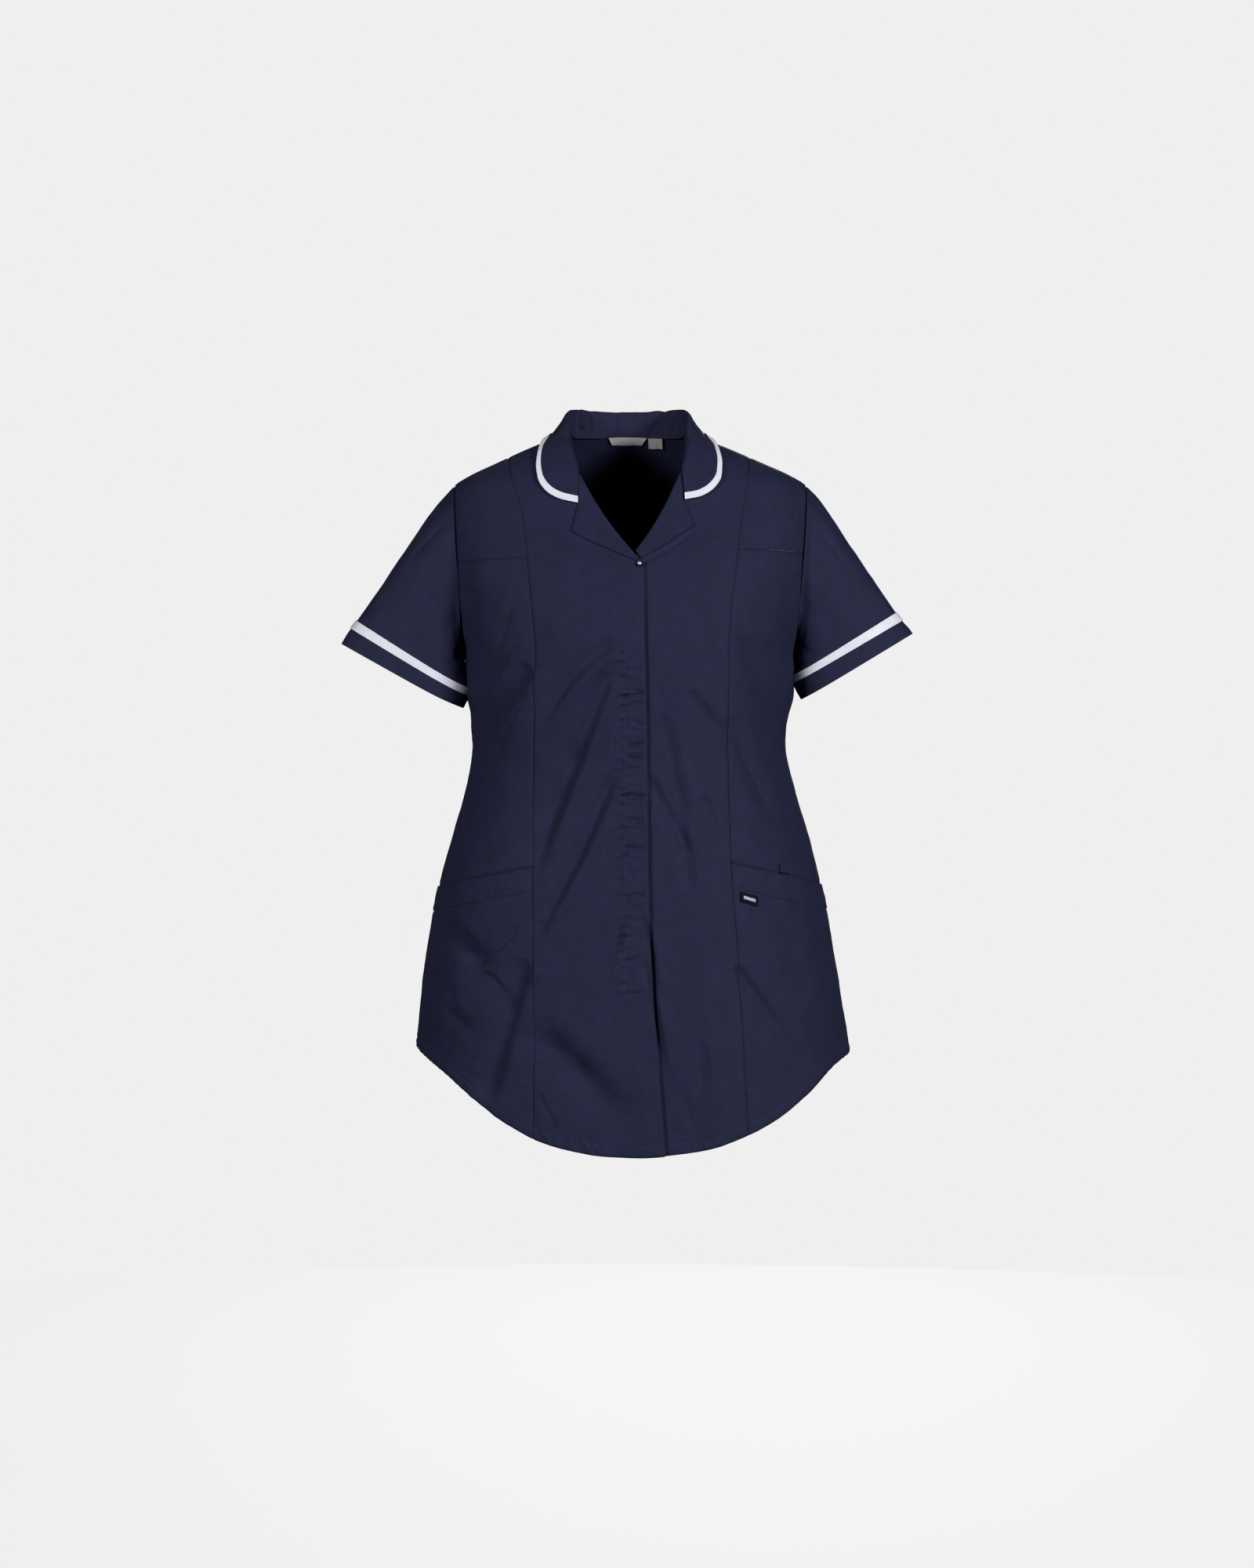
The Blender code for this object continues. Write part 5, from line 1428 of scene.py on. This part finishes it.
def build_collar():
    """The collar in one folded piece, and the tape along its edge."""
    rows, columns = COLLAR_CELLS
    points = fine_grid(trim(collar_points(), GORGE_GAP, axes=(1,)), rows, columns)
    out = -grid_normals(points)
    v, u = np.broadcast_arrays(*shares(rows + 1, columns + 1))
    x, y = COLLAR_LENGTH * u, COLLAR_DEPTH * v
    relief = crease_relief(x, y, scaled(COLLAR_CREASES, COLLAR_LENGTH, COLLAR_DEPTH))
    relief += slight_waves(x, y, 9, *FINE_WAVES) * window(v, *COLLAR_WAVES)
    relief *= 1 - groove(v - COLLAR_FOLD, 1.0, COLLAR_CALM)
    outer = points + relief[..., None] * out
    collar = cloth_shell("collar_cloth", "collar", outer, out)
    steps = np.linspace(COLLAR_TAPE_WIDTH, 0, TAPE_CELLS + 1)
    strip = np.stack([points_at(outer[::-1, column], steps) for column in range(columns + 1)], axis=1)
    strip_out = np.repeat(out[-1:], len(steps), axis=0)
    tape = tape_shell("collar_trim", "collar_tape", strip, strip_out, COLLAR_TAPE_SWELL)


def build_lapels():
    """Each lapel rolls out of the front along the roll line and lies on the front."""
    for word, side in SIDES.items():
        rows = LAPEL_ROWS[side]
        roll_shares = np.arange(rows + 1) / SHOULDER_ROWS[1]
        notch, edge = LAPEL_NOTCH[side], LAPEL_EDGE[side]
        first = roll_line(side, roll_shares, LAPEL_FOLD)
        last = along((*edge, LAPEL_END[side]), rows)
        top = joined(between(first[0], notch, LAPEL_COLUMNS[0]), between(notch, edge[0], LAPEL_COLUMNS[1]))
        face = patch(top, between(first[-1], LAPEL_END[side], sum(LAPEL_COLUMNS)), first, last)
        angle = np.linspace(0, math.pi, FOLD_CELLS + 1)[:-1]
        fold = [roll_line(side, roll_shares, LAPEL_FOLD * (1 - math.sin(a))) for a in angle]
        wrap = roll_line(side, roll_shares, LAPEL_WRAP)
        places = places_at(np.concatenate([np.stack([wrap] + fold, axis=1), face], axis=1))
        middle, half = (LAPEL_INSIDE + LAPEL_LIFT) / 2, (LAPEL_LIFT - LAPEL_INSIDE) / 2
        lift = np.full(places.shape[:2], LAPEL_LIFT)
        lift[:, 0] = LAPEL_INSIDE
        lift[:, 1 : FOLD_CELLS + 1] = middle - half * np.cos(angle)
        down, share = shares(rows + 1, face.shape[1])
        start, more = LAPEL_LOFT_ROWS
        lift[:, FOLD_CELLS + 1 :] += LAPEL_LOFT * share * np.sin(math.pi * (start + more * down))
        points = on_form(places, lift + lap_lift(side, places))
        points = trim(points, GORGE_GAP, axes=(0,))
        out = -side * grid_normals(points)
        if np.mean(out[:, -3:, 1]) > 0:
            out = -out
        cloth_shell(f"{word}_lapel_cloth", f"lapel_{word}", points, out)


# Labels, tab and stud

def flat_piece(name, finish, replaced, corners, lift, thickness, behind=False, sag=0.0):
    """A small flat piece between four corners (across, drop): top pair, then bottom pair."""
    rows, columns = LABEL_CELLS
    top, bottom = (between(start, end, columns) for start, end in corners)
    down, across = shares(rows + 1, columns + 1)
    places = places_at((1 - down[..., None]) * top + down[..., None] * bottom, behind)
    bend = sag * np.sin(3.1 * math.pi * across + 0.6) * down
    outer = on_form(places, lift + thickness + bend)
    inner = outer - thickness * outward(places[..., 0], places[..., 1])
    lengths = np.stack(np.broadcast_arrays(across, down), axis=-1)
    build_shell(name, finish, replaced, outer, inner, lengths)


def build_labels():
    """Blank labels at the neck and on the pocket, and the small tab above the pocket's mouth."""
    inside = -(SOLID_CLOTH + LABEL_CLEAR + LABEL)
    for name, finish, replaced, (top, low, top_drop, low_drop), up in (
        ("neck_label_woven", "label", "neck_label", NECK_LABEL, NECK_LABEL_RISE),
        ("size_label_woven", "cream", "size_label", SIZE_LABEL, SIZE_LABEL_RISE),
    ):
        corners = [
            [(across, drop - up) for across in pair] for pair, drop in ((top, top_drop), (low, low_drop))
        ]
        flat_piece(name, finish, replaced, corners, inside, LABEL, behind=True, sag=LABEL_SAG)
    for name, finish, replaced, (start, (end, end_drop)), height, lift, thickness, tilt in (
        (
            "pocket_label_woven", "bar_label", "pocket_label", POCKET_LABEL, POCKET_LABEL_HEIGHT,
            POCKET_LABEL_LIFT, LABEL, POCKET_LABEL_TILT,
        ),
        ("pocket_tab_cloth", "navy", "pocket_tab", POCKET_TAB, POCKET_TAB_HEIGHT, 2 * SEAM_GAP, TAB, 0.0),
    ):
        top = (start, (end, end_drop + tilt))
        low = [(across, drop + height) for across, drop in top]
        flat_piece(name, finish, replaced, (top, low), lift, thickness)


def build_stud():
    """The press stud: a rolled rim and a domed cap, turned and set square on the front."""
    places = places_at(np.array([STUD_PLACE]))
    out = Vector(outward(places[:, 0], places[:, 1])[0])
    seat = Vector(on_form(places, LAPEL_LIFT + SEAM_GAP)[0])
    for name, finish, replaced, profile in (
        ("stud_rim", "dark_metal", None, STUD_RIM),
        ("stud_cap", "metal", "press_stud", STUD_CAP),
    ):
        bm = bmesh.new()
        verts = [bm.verts.new((radius, 0.0, height)) for radius, height in profile]
        for start, end in zip(verts, verts[1:]):
            bm.edges.new((start, end))
        bmesh.ops.spin(
            bm, geom=bm.verts[:] + bm.edges[:], cent=(0, 0, 0), axis=(0, 0, 1),
            angle=math.tau, steps=32, use_merge=True,
        )
        bmesh.ops.remove_doubles(bm, verts=bm.verts, dist=1e-6)
        bmesh.ops.recalc_face_normals(bm, faces=bm.faces)
        turn = out.to_track_quat("Z", "Y").to_matrix().to_4x4()
        bmesh.ops.transform(bm, matrix=Matrix.Translation(seat) @ turn, verts=bm.verts)
        finish_piece(name, bm, finish, replaced)


# Sewing

def line_where(grid, field, level, axis=0):
    """Points on a grid where a field crosses a level, one for each column, or each row for axis 1."""
    if axis:
        grid, field = np.swapaxes(grid, 0, 1), field.T
    found = []
    for column in range(grid.shape[1]):
        values = field[:, column] - level
        crossings = np.nonzero(values[:-1] * values[1:] <= 0)[0]
        if len(crossings):
            i = crossings[0]
            t = values[i] / (values[i] - values[i + 1] + 1e-12)
            found.append((1 - t) * grid[i, column] + t * grid[i + 1, column])
    return np.array(found)


def stitches(line, out_of, lift=None, pitch=None):
    """Where each stitch of a row lies: its middle, half its length ahead, and the way out of the cloth."""
    lift = THREAD_LIFT * sizes().thread_radius if lift is None else lift
    pitch = pitch or sizes().stitch_pitch
    middles = (np.arange(int(run_lengths(line)[-1] / pitch)) + 0.5) * pitch
    points, front, rear = (points_at(line, middles + share * pitch) for share in (0, 0.5, -0.5))
    ahead = unit(front - rear)
    out = out_of(points)
    out = unit(out - (out * ahead).sum(axis=1, keepdims=True) * ahead)
    return points + lift * out, ahead * sizes().stitch_length / 2, out


def sew(name, rows, finish):
    """One joined mesh of stitches, each a slim grain of thread copied from one small ball."""
    bm = bmesh.new()
    bmesh.ops.create_uvsphere(bm, u_segments=6, v_segments=4, radius=1.0)
    ball = np.array([vert.co[:] for vert in bm.verts])
    sides = [[vert.index for vert in face.verts] for face in bm.faces]
    bm.free()
    middle, ahead, out = (np.concatenate(parts) for parts in zip(*rows))
    aside = np.cross(out, unit(ahead))
    thick = ball[None, :, 1:2] * aside[:, None] + ball[None, :, 2:3] * out[:, None]
    points = middle[:, None] + ball[None, :, 0:1] * ahead[:, None] + sizes().thread_radius * thick
    faces = [[v + n * len(ball) for v in side] for n in range(len(points)) for side in sides]
    mesh = bpy.data.meshes.new(name)
    mesh.from_pydata(points.reshape(-1, 3).tolist(), [], faces)
    bm = bmesh.new()
    bm.from_mesh(mesh)
    bpy.data.meshes.remove(mesh)
    finish_piece(name, bm, finish)


def out_of_body(points):
    """The directions out of the body at points near it, all in front or all behind."""
    places = places_at(points[:, [0, 2]] * np.array([1, -1]), behind=points[:, 1].mean() > 0)
    return outward(places[:, 0], places[:, 1])


def out_of_sleeve(side):
    """What gives the directions out of a sleeve at points on it, away from the line through its middle."""
    rings = sleeve_rings(side)
    start, end = rings[1].mean(axis=0), rings[-1].mean(axis=0)
    axis = unit(end - start)

    def out_of(points):
        """The directions away from that line."""
        away = points - start
        return unit(away - (away @ axis)[:, None] * axis)

    return out_of


def sew_body():
    """Rows of navy thread: hem, fly, its bars, and the pockets' mouths."""
    rows = []
    for name in ("right_front", "left_front", "right_pocket", "left_pocket", "back"):
        grid, places = SURFACES[f"{name}_cloth"]
        above = hem_drop(places[..., 0]) - places[..., 1]
        rows.append(line_where(grid, above, HEM_STITCH))
    grid, places = SURFACES["right_front_cloth"]
    x, drop = across_of(places), places[..., 1]
    for row in FLY_ROWS:
        line = line_where(grid, x, row, axis=1)
        rows.append(line[(-line[:, 2] > FLY_DROPS[0]) & (-line[:, 2] < FLY_DROPS[1])])
    for bar_drop, wide in FLY_BARS:
        line = line_where(grid, drop, bar_drop)
        rows.append(line[(line[:, 0] > BAR_START) & (line[:, 0] < BAR_START + wide)])
    for word, side in SIDES.items():
        grid, places = SURFACES[f"{word}_pocket_cloth"]
        rows.append(line_where(grid, pocket_mouth_distance(side, places), POCKET_TURN))
    sew("navy_stitching", [stitches(row, out_of_body) for row in rows], "navy_thread")


def tape_rows(name):
    """The two rows along a tape where its stitches go."""
    band, _ = SURFACES[name]
    return smooth_rows(band, np.array(TAPE_ROWS) * (len(band) - 1))


def sew_trims():
    """Rows of white thread along both edges of the tapes, and the pale row on the left chest seam."""
    rows = []
    for word, side in SIDES.items():
        for row in tape_rows(f"{word}_sleeve_trim"):
            rows.append(stitches(np.concatenate([row, row[:1]]), out_of_sleeve(side), lift=0.0))
    for row in tape_rows("collar_trim"):
        rows.append(stitches(row, lambda points: unit(points * np.array([1, 1, 0])), lift=0.0))
    sew("white_stitching", rows, "white_thread")

    grid, _ = SURFACES["left_shoulder_cloth"]
    start, end = (int(share * grid.shape[1]) for share in CHEST_STITCHES)
    row = stitches(grid[-1, start:end], out_of_body, lift=CHEST_STITCH_LIFT, pitch=CHEST_STITCH_PITCH)
    sew("pale_stitching", [row], "pale_thread")


# Finishes

def srgb(code):
    """A colour for a shader from its sRGB hex code."""
    values = [int(code[i : i + 2], 16) / 255 for i in (1, 3, 5)]
    return (*(v / 12.92 if v <= 0.04045 else ((v + 0.055) / 1.055) ** 2.4 for v in values), 1.0)


def add_node(tree, kind, settings=None, inputs=None):
    """Adds a node; settings are its own values, and inputs are values or outputs linked to its sockets."""
    made = tree.nodes.new(f"ShaderNode{kind}")
    for name, value in (settings or {}).items():
        setattr(made, name, value)
    for name, value in (inputs or {}).items():
        socket = made.inputs[name]
        if isinstance(value, bpy.types.NodeSocket):
            tree.links.new(value, socket)
        else:
            socket.default_value = value
    return made


def start_finish(name, constants):
    """A new material with its Principled shader and that shader's constant values."""
    material = bpy.data.materials.new(name)
    material.use_nodes = True
    tree = material.node_tree
    shader = tree.nodes["Principled BSDF"]
    for socket, value in constants.items():
        shader.inputs[socket].default_value = value
    return material, tree, shader


def woven(name, dark, light, period, depth, slub, constants):
    """A woven cloth on the piece's own thread map: plain weave, slubs both ways and a soft mottle."""
    material, tree, shader = start_finish(name, constants)
    threads = add_node(tree, "UVMap", {"uv_map": "threads"}).outputs["UV"]
    # A wave texture of scale 1 has a band each tau / 20 metres; its second output is the factor
    warp, weft = (
        add_node(
            tree, "TexWave", {"wave_type": "BANDS", "bands_direction": direction, "wave_profile": "SIN"},
            {"Vector": threads, "Scale": math.tau / (20 * period), "Distortion": 0.0},
        ).outputs[1]
        for direction in ("X", "Y")
    )
    weave = add_node(tree, "Math", {"operation": "MULTIPLY"}, {0: warp, 1: weft}).outputs[0]
    slubs = []
    for across, down in ((SLUB_THIN, SLUB_LONG), (SLUB_LONG, SLUB_THIN)):
        stretched = add_node(tree, "Mapping", None, {"Vector": threads, "Scale": (1 / across, 1 / down, 1.0)})
        noise = add_node(
            tree, "TexNoise", {"noise_dimensions": "2D"},
            {"Vector": stretched.outputs["Vector"], "Scale": 1.0, "Detail": 2.0, "Roughness": 0.5},
        )
        slubs.append(noise.outputs[0])
    both = add_node(tree, "Math", {"operation": "ADD"}, {0: slubs[0], 1: slubs[1]}).outputs[0]
    mottle = add_node(
        tree, "TexNoise", {"noise_dimensions": "2D"},
        {"Vector": threads, "Scale": 1 / MOTTLE, "Detail": 3.0, "Roughness": 0.55},
    ).outputs[0]
    total = add_node(tree, "Math", {"operation": "ADD"}, {0: both, 1: mottle}).outputs[0]
    # The three noises come to 1.5 on average
    tone = add_node(
        tree, "MapRange", None,
        {"Value": total, "From Min": 1.5 - slub, "From Max": 1.5 + slub, "To Min": 0.0, "To Max": 1.0},
    ).outputs["Result"]
    mixed = add_node(tree, "Mix", {"data_type": "RGBA"}, {0: tone, 6: srgb(dark), 7: srgb(light)})
    tree.links.new(mixed.outputs[2], shader.inputs["Base Color"])
    height = add_node(tree, "Math", {"operation": "MULTIPLY_ADD"}, {0: both, 1: 0.6, 2: weave}).outputs[0]
    bump = add_node(tree, "Bump", None, {"Strength": 0.5, "Distance": depth, "Height": height})
    tree.links.new(bump.outputs["Normal"], shader.inputs["Normal"])
    return material


def barred_label(name, ground, bar, constants):
    """A woven navy label with a plain pale bar along its middle, with nothing written on it."""
    material, tree, shader = start_finish(name, constants)
    place = add_node(tree, "UVMap", {"uv_map": "threads"}).outputs["UV"]
    parts = add_node(tree, "SeparateXYZ", None, {"Vector": place})
    hits = [
        add_node(
            tree, "Math", {"operation": "COMPARE"}, {0: parts.outputs[axis], 1: 0.5, 2: reach}
        ).outputs[0]
        for axis, reach in BAR_REACH.items()
    ]
    inside = add_node(tree, "Math", {"operation": "MULTIPLY"}, dict(enumerate(hits))).outputs[0]
    grain = add_node(
        tree, "TexWave", {"wave_type": "BANDS", "bands_direction": "X"}, {"Vector": place, "Scale": 9.0}
    )
    pale = add_node(
        tree, "Mix", {"data_type": "RGBA"}, {0: grain.outputs[0], 6: srgb(bar[0]), 7: srgb(bar[1])}
    ).outputs[2]
    mixed = add_node(tree, "Mix", {"data_type": "RGBA"}, {0: inside, 6: srgb(ground), 7: pale})
    tree.links.new(mixed.outputs[2], shader.inputs["Base Color"])
    bump = add_node(tree, "Bump", None, {"Strength": 0.4, "Distance": 0.0002, "Height": inside})
    tree.links.new(bump.outputs["Normal"], shader.inputs["Normal"])
    return material


def plated(name, dark, light, roughness):
    """Pressed brass plated with nickel: bright, with fine uneven wear in its polish."""
    material, tree, shader = start_finish(name, {"Metallic": 1.0})
    place = add_node(tree, "TexCoord").outputs["Object"]
    wear = add_node(
        tree, "TexNoise", None, {"Vector": place, "Scale": 1 / METAL_WEAR, "Detail": 2.0}
    ).outputs[0]
    mixed = add_node(tree, "Mix", {"data_type": "RGBA"}, {0: wear, 6: srgb(dark), 7: srgb(light)})
    tree.links.new(mixed.outputs[2], shader.inputs["Base Color"])
    rough = add_node(tree, "MapRange", None, {"Value": wear, "To Min": roughness[0], "To Max": roughness[1]})
    tree.links.new(rough.outputs["Result"], shader.inputs["Roughness"])
    return material


def thread(name, dark, light, constants):
    """Spun polyester sewing thread: a fine twist and a soft shine."""
    material, tree, shader = start_finish(name, constants)
    place = add_node(tree, "TexCoord").outputs["Object"]
    twist = add_node(
        tree, "TexNoise", None, {"Vector": place, "Scale": 1 / THREAD_TWIST, "Detail": 1.0}
    ).outputs[0]
    mixed = add_node(tree, "Mix", {"data_type": "RGBA"}, {0: twist, 6: srgb(dark), 7: srgb(light)})
    tree.links.new(mixed.outputs[2], shader.inputs["Base Color"])
    return material


def mix_finishes(colours):
    """All the finishes of the tunic."""
    cloth = {"Roughness": 0.76, "Specular IOR Level": 0.18, "Sheen Weight": 0.03, "Sheen Roughness": 0.40}
    soft = {"Roughness": 0.72, "Specular IOR Level": 0.35, "Sheen Weight": 0.15, "Sheen Roughness": 0.40}
    satin = {"Roughness": 0.45, "Specular IOR Level": 0.45, "Sheen Weight": 0.10, "Sheen Roughness": 0.30}
    flat = {"Roughness": 0.85, "Specular IOR Level": 0.12}
    MATERIALS.update(
        # Polyester-cotton poplin, piece dyed and calendered. Its threads are about 0.25 mm apart, too fine
        # to show, so they are drawn 1.1 mm apart; slubs and a soft mottle give a woven, matt cloth.
        navy=woven(
            "navy_polycotton_poplin", colours.navy_dark, colours.navy_light, 0.0011, 0.00016, 0.42, cloth
        ),
        # Polyester satin-edged tape, woven narrow. Its ribs are drawn 0.9 mm apart in place of 0.4 mm.
        tape=woven(
            "white_woven_polyester_tape", colours.tape_dark, colours.tape_light, 0.0009, 0.00012, 0.5, soft
        ),
        # Damask-woven polyester labels, left blank; smooth, with a slight thread.
        label=woven("white_damask_label", "#BFBDBE", "#D2D0D1", 0.05, 0.00006, 0.6, satin),
        cream=woven("cream_damask_label", "#B2ABA9", "#C6C0BE", 0.05, 0.00006, 0.6, satin),
        # Damask-woven navy label with a plain pale bar, where the real one has its words.
        bar_label=barred_label("navy_damask_label", "#0C0E1E", ("#8D92A6", "#C3C8D6"), flat),
        # Pressed brass, nickel plated: a bright cap in a rim that is darker from the press.
        metal=plated("nickel_plated_brass_cap", "#D9DBE0", "#F4F5F8", (0.42, 0.55)),
        dark_metal=plated("oxidised_brass_rim", "#23242C", "#3A3C46", (0.38, 0.55)),
        # Spun polyester thread, softly shiny: navy on the body, white on the tapes, pale on the chest seam.
        navy_thread=thread("navy_spun_polyester_thread", colours.thread_dark, colours.thread_light, soft),
        white_thread=thread("white_spun_polyester_thread", "#CFCFDA", "#E8E8F0", soft),
        pale_thread=thread("pale_spun_polyester_thread", "#8A8EAA", "#B4B8CC", soft),
    )


# Studio

def area_light(name, place, target, size, power):
    """A soft box that faces a target."""
    light = bpy.data.lights.new(name, "AREA")
    light.shape = "RECTANGLE"
    light.size = light.size_y = size
    light.energy = power
    obj = bpy.data.objects.new(name, light)
    obj.location = place
    obj.rotation_mode = "QUATERNION"
    obj.rotation_quaternion = (Vector(target) - Vector(place)).to_track_quat("-Z", "Y")
    bpy.context.scene.collection.objects.link(obj)


def build_stage():
    """A pale floor and ground, soft lights from the front, and the camera."""
    scene = bpy.context.scene
    scene.view_settings.view_transform = "Standard"
    world = bpy.data.worlds.new("studio")
    scene.world = world
    world.use_nodes = True
    tree = world.node_tree
    tree.nodes.clear()
    seen = add_node(tree, "Background", None, {"Color": srgb(GROUND_COLOUR), "Strength": 1.0})
    ambient = add_node(tree, "Background", None, {"Color": AMBIENT_COLOUR, "Strength": AMBIENT})
    path = add_node(tree, "LightPath").outputs["Is Camera Ray"]
    mixed = add_node(tree, "MixShader", None, {0: path, 1: ambient.outputs[0], 2: seen.outputs[0]})
    add_node(tree, "OutputWorld", None, {"Surface": mixed.outputs[0]})

    bm = bmesh.new()
    bmesh.ops.create_circle(bm, cap_ends=True, segments=96, radius=FLOOR_RADIUS)
    bmesh.ops.translate(bm, vec=(0, 0, -FLOOR_DROP), verts=bm.verts)
    mesh = bpy.data.meshes.new("floor")
    bm.to_mesh(mesh)
    bm.free()
    # Matt paint that glows as pale as the ground, so that neither the lights nor the tunic show on it
    matt = {"Roughness": 0.9, "Base Color": srgb(FLOOR_COLOUR)}
    glow = {"Emission Color": srgb(GROUND_COLOUR), "Emission Strength": FLOOR_GLOW}
    paint, _, _ = start_finish("pale_floor_paint", matt | glow)
    mesh.materials.append(paint)
    floor = bpy.data.objects.new("floor", mesh)
    scene.collection.objects.link(floor)
    floor.visible_diffuse = floor.visible_glossy = False

    for light in LIGHTS:
        area_light(*light)

    camera = bpy.data.cameras.new("camera")
    camera.lens = CAMERA_LENS
    camera.sensor_width = CAMERA_SENSOR
    camera.clip_end = 60.0
    holder = bpy.data.objects.new("camera", camera)
    holder.location = CAMERA_PLACE
    holder.rotation_euler = (math.pi / 2, 0.0, 0.0)
    scene.collection.objects.link(holder)
    scene.camera = holder


# The add-on

class TunicSizes(bpy.types.PropertyGroup):
    """Sizes of the cloth, tape and sewing."""
    cloth: bpy.props.FloatProperty(
        name="Cloth", description="Thickness of the navy cloth", default=CLOTH, min=0.0003, max=0.0012,
        precision=5, unit="LENGTH",
    )
    tape: bpy.props.FloatProperty(
        name="Tape", description="Thickness of the white tape", default=0.0006, min=0.0003, max=0.0010,
        precision=5, unit="LENGTH",
    )
    crease_depth: bpy.props.FloatProperty(
        name="Crease depth", description="How deep the creases are, as a share of their own depths",
        default=2.1, min=0.0, max=3.0, subtype="FACTOR",
    )
    stitch_length: bpy.props.FloatProperty(
        name="Stitch", description="Length of one stitch", default=0.0021, min=0.001, max=0.005,
        precision=5, unit="LENGTH",
    )
    stitch_pitch: bpy.props.FloatProperty(
        name="Stitch spacing", description="From one stitch to the next", default=0.0028, min=0.0015,
        max=0.008, precision=5, unit="LENGTH",
    )
    thread_radius: bpy.props.FloatProperty(
        name="Thread radius", description="Radius of the sewing thread", default=0.00021, min=0.0001,
        max=0.0005, precision=5, unit="LENGTH",
    )


class TunicColours(bpy.types.PropertyGroup):
    """Colours of the cloth, tape and thread, as sRGB hex codes."""
    navy_dark: bpy.props.StringProperty(name="Navy, dark threads", description="sRGB hex", default="#1B1E34")
    navy_light: bpy.props.StringProperty(
        name="Navy, light threads", description="sRGB hex", default="#212443"
    )
    tape_dark: bpy.props.StringProperty(name="Tape, shaded ribs", description="sRGB hex", default="#DAD9E6")
    tape_light: bpy.props.StringProperty(name="Tape, bright ribs", description="sRGB hex", default="#E9E8F3")
    thread_dark: bpy.props.StringProperty(name="Thread, dark", description="sRGB hex", default="#2A2D45")
    thread_light: bpy.props.StringProperty(name="Thread, light", description="sRGB hex", default="#40445F")


class TUNIC_OT_finishes(bpy.types.Operator):
    """Mix the finishes of cloth, tape, thread and metal"""
    bl_idname = "tunic.finishes"
    bl_label = "Mix finishes"

    def execute(self, context):
        mix_finishes(context.scene.tunic_colours)
        return {"FINISHED"}


class TUNIC_OT_stage(bpy.types.Operator):
    """Set up the floor, the lights and the camera"""
    bl_idname = "tunic.stage"
    bl_label = "Studio"

    def execute(self, context):
        build_stage()
        return {"FINISHED"}


class TUNIC_OT_fronts(bpy.types.Operator):
    """Cut and set the two fronts with the fly"""
    bl_idname = "tunic.fronts"
    bl_label = "Fronts"

    def execute(self, context):
        build_fronts()
        return {"FINISHED"}


class TUNIC_OT_side_fronts(bpy.types.Operator):
    """Cut and set the side fronts and the pockets"""
    bl_idname = "tunic.side_fronts"
    bl_label = "Side fronts and pockets"

    def execute(self, context):
        build_side_fronts()
        return {"FINISHED"}


class TUNIC_OT_back(bpy.types.Operator):
    """Cut and set the back"""
    bl_idname = "tunic.back"
    bl_label = "Back"

    def execute(self, context):
        build_back()
        return {"FINISHED"}


class TUNIC_OT_sleeves(bpy.types.Operator):
    """Set in the sleeves and tape the cuffs"""
    bl_idname = "tunic.sleeves"
    bl_label = "Sleeves"

    def execute(self, context):
        build_sleeves()
        return {"FINISHED"}


class TUNIC_OT_collar(bpy.types.Operator):
    """Fold and set the collar with its tape"""
    bl_idname = "tunic.collar"
    bl_label = "Collar"

    def execute(self, context):
        build_collar()
        return {"FINISHED"}


class TUNIC_OT_lapels(bpy.types.Operator):
    """Roll the lapels out of the fronts"""
    bl_idname = "tunic.lapels"
    bl_label = "Lapels"

    def execute(self, context):
        build_lapels()
        return {"FINISHED"}


class TUNIC_OT_small_pieces(bpy.types.Operator):
    """Set the labels, the tab and the press stud"""
    bl_idname = "tunic.small_pieces"
    bl_label = "Labels, tab and stud"

    def execute(self, context):
        build_labels()
        build_stud()
        return {"FINISHED"}


class TUNIC_OT_sewing(bpy.types.Operator):
    """Sew the rows of stitches"""
    bl_idname = "tunic.sewing"
    bl_label = "Stitches"

    def execute(self, context):
        sew_body()
        sew_trims()
        return {"FINISHED"}


OPERATORS = (
    TUNIC_OT_finishes, TUNIC_OT_stage, TUNIC_OT_fronts, TUNIC_OT_side_fronts, TUNIC_OT_back,
    TUNIC_OT_sleeves, TUNIC_OT_collar, TUNIC_OT_lapels, TUNIC_OT_small_pieces, TUNIC_OT_sewing,
)


class TUNIC_PT_panel(bpy.types.Panel):
    """Everything that makes the tunic, in order"""
    bl_label = "Maternity tunic"
    bl_idname = "TUNIC_PT_panel"
    bl_space_type = "VIEW_3D"
    bl_region_type = "UI"
    bl_category = "Tunic"

    def draw(self, context):
        """Shows the sizes, the colours and a button for each operator."""
        column = self.layout.column(align=True)
        for name in TunicSizes.__annotations__:
            column.prop(context.scene.tunic_sizes, name)
        column = self.layout.column(align=True)
        for name in TunicColours.__annotations__:
            column.prop(context.scene.tunic_colours, name)
        column = self.layout.column(align=True)
        for operator in OPERATORS:
            column.operator(operator.bl_idname)


CLASSES = (TunicSizes, TunicColours, *OPERATORS, TUNIC_PT_panel)


def register():
    """Makes the classes and their properties known to Blender."""
    for cls in CLASSES:
        bpy.utils.register_class(cls)
    bpy.types.Scene.tunic_sizes = bpy.props.PointerProperty(type=TunicSizes)
    bpy.types.Scene.tunic_colours = bpy.props.PointerProperty(type=TunicColours)


def unregister():
    """Takes the properties and the classes back."""
    del bpy.types.Scene.tunic_colours
    del bpy.types.Scene.tunic_sizes
    for cls in reversed(CLASSES):
        bpy.utils.unregister_class(cls)


def main():
    """Makes the whole tunic and its studio."""
    register()
    for operator in OPERATORS:
        group, name = operator.bl_idname.split(".")
        getattr(getattr(bpy.ops, group), name)()


if __name__ == "__main__":
    main()
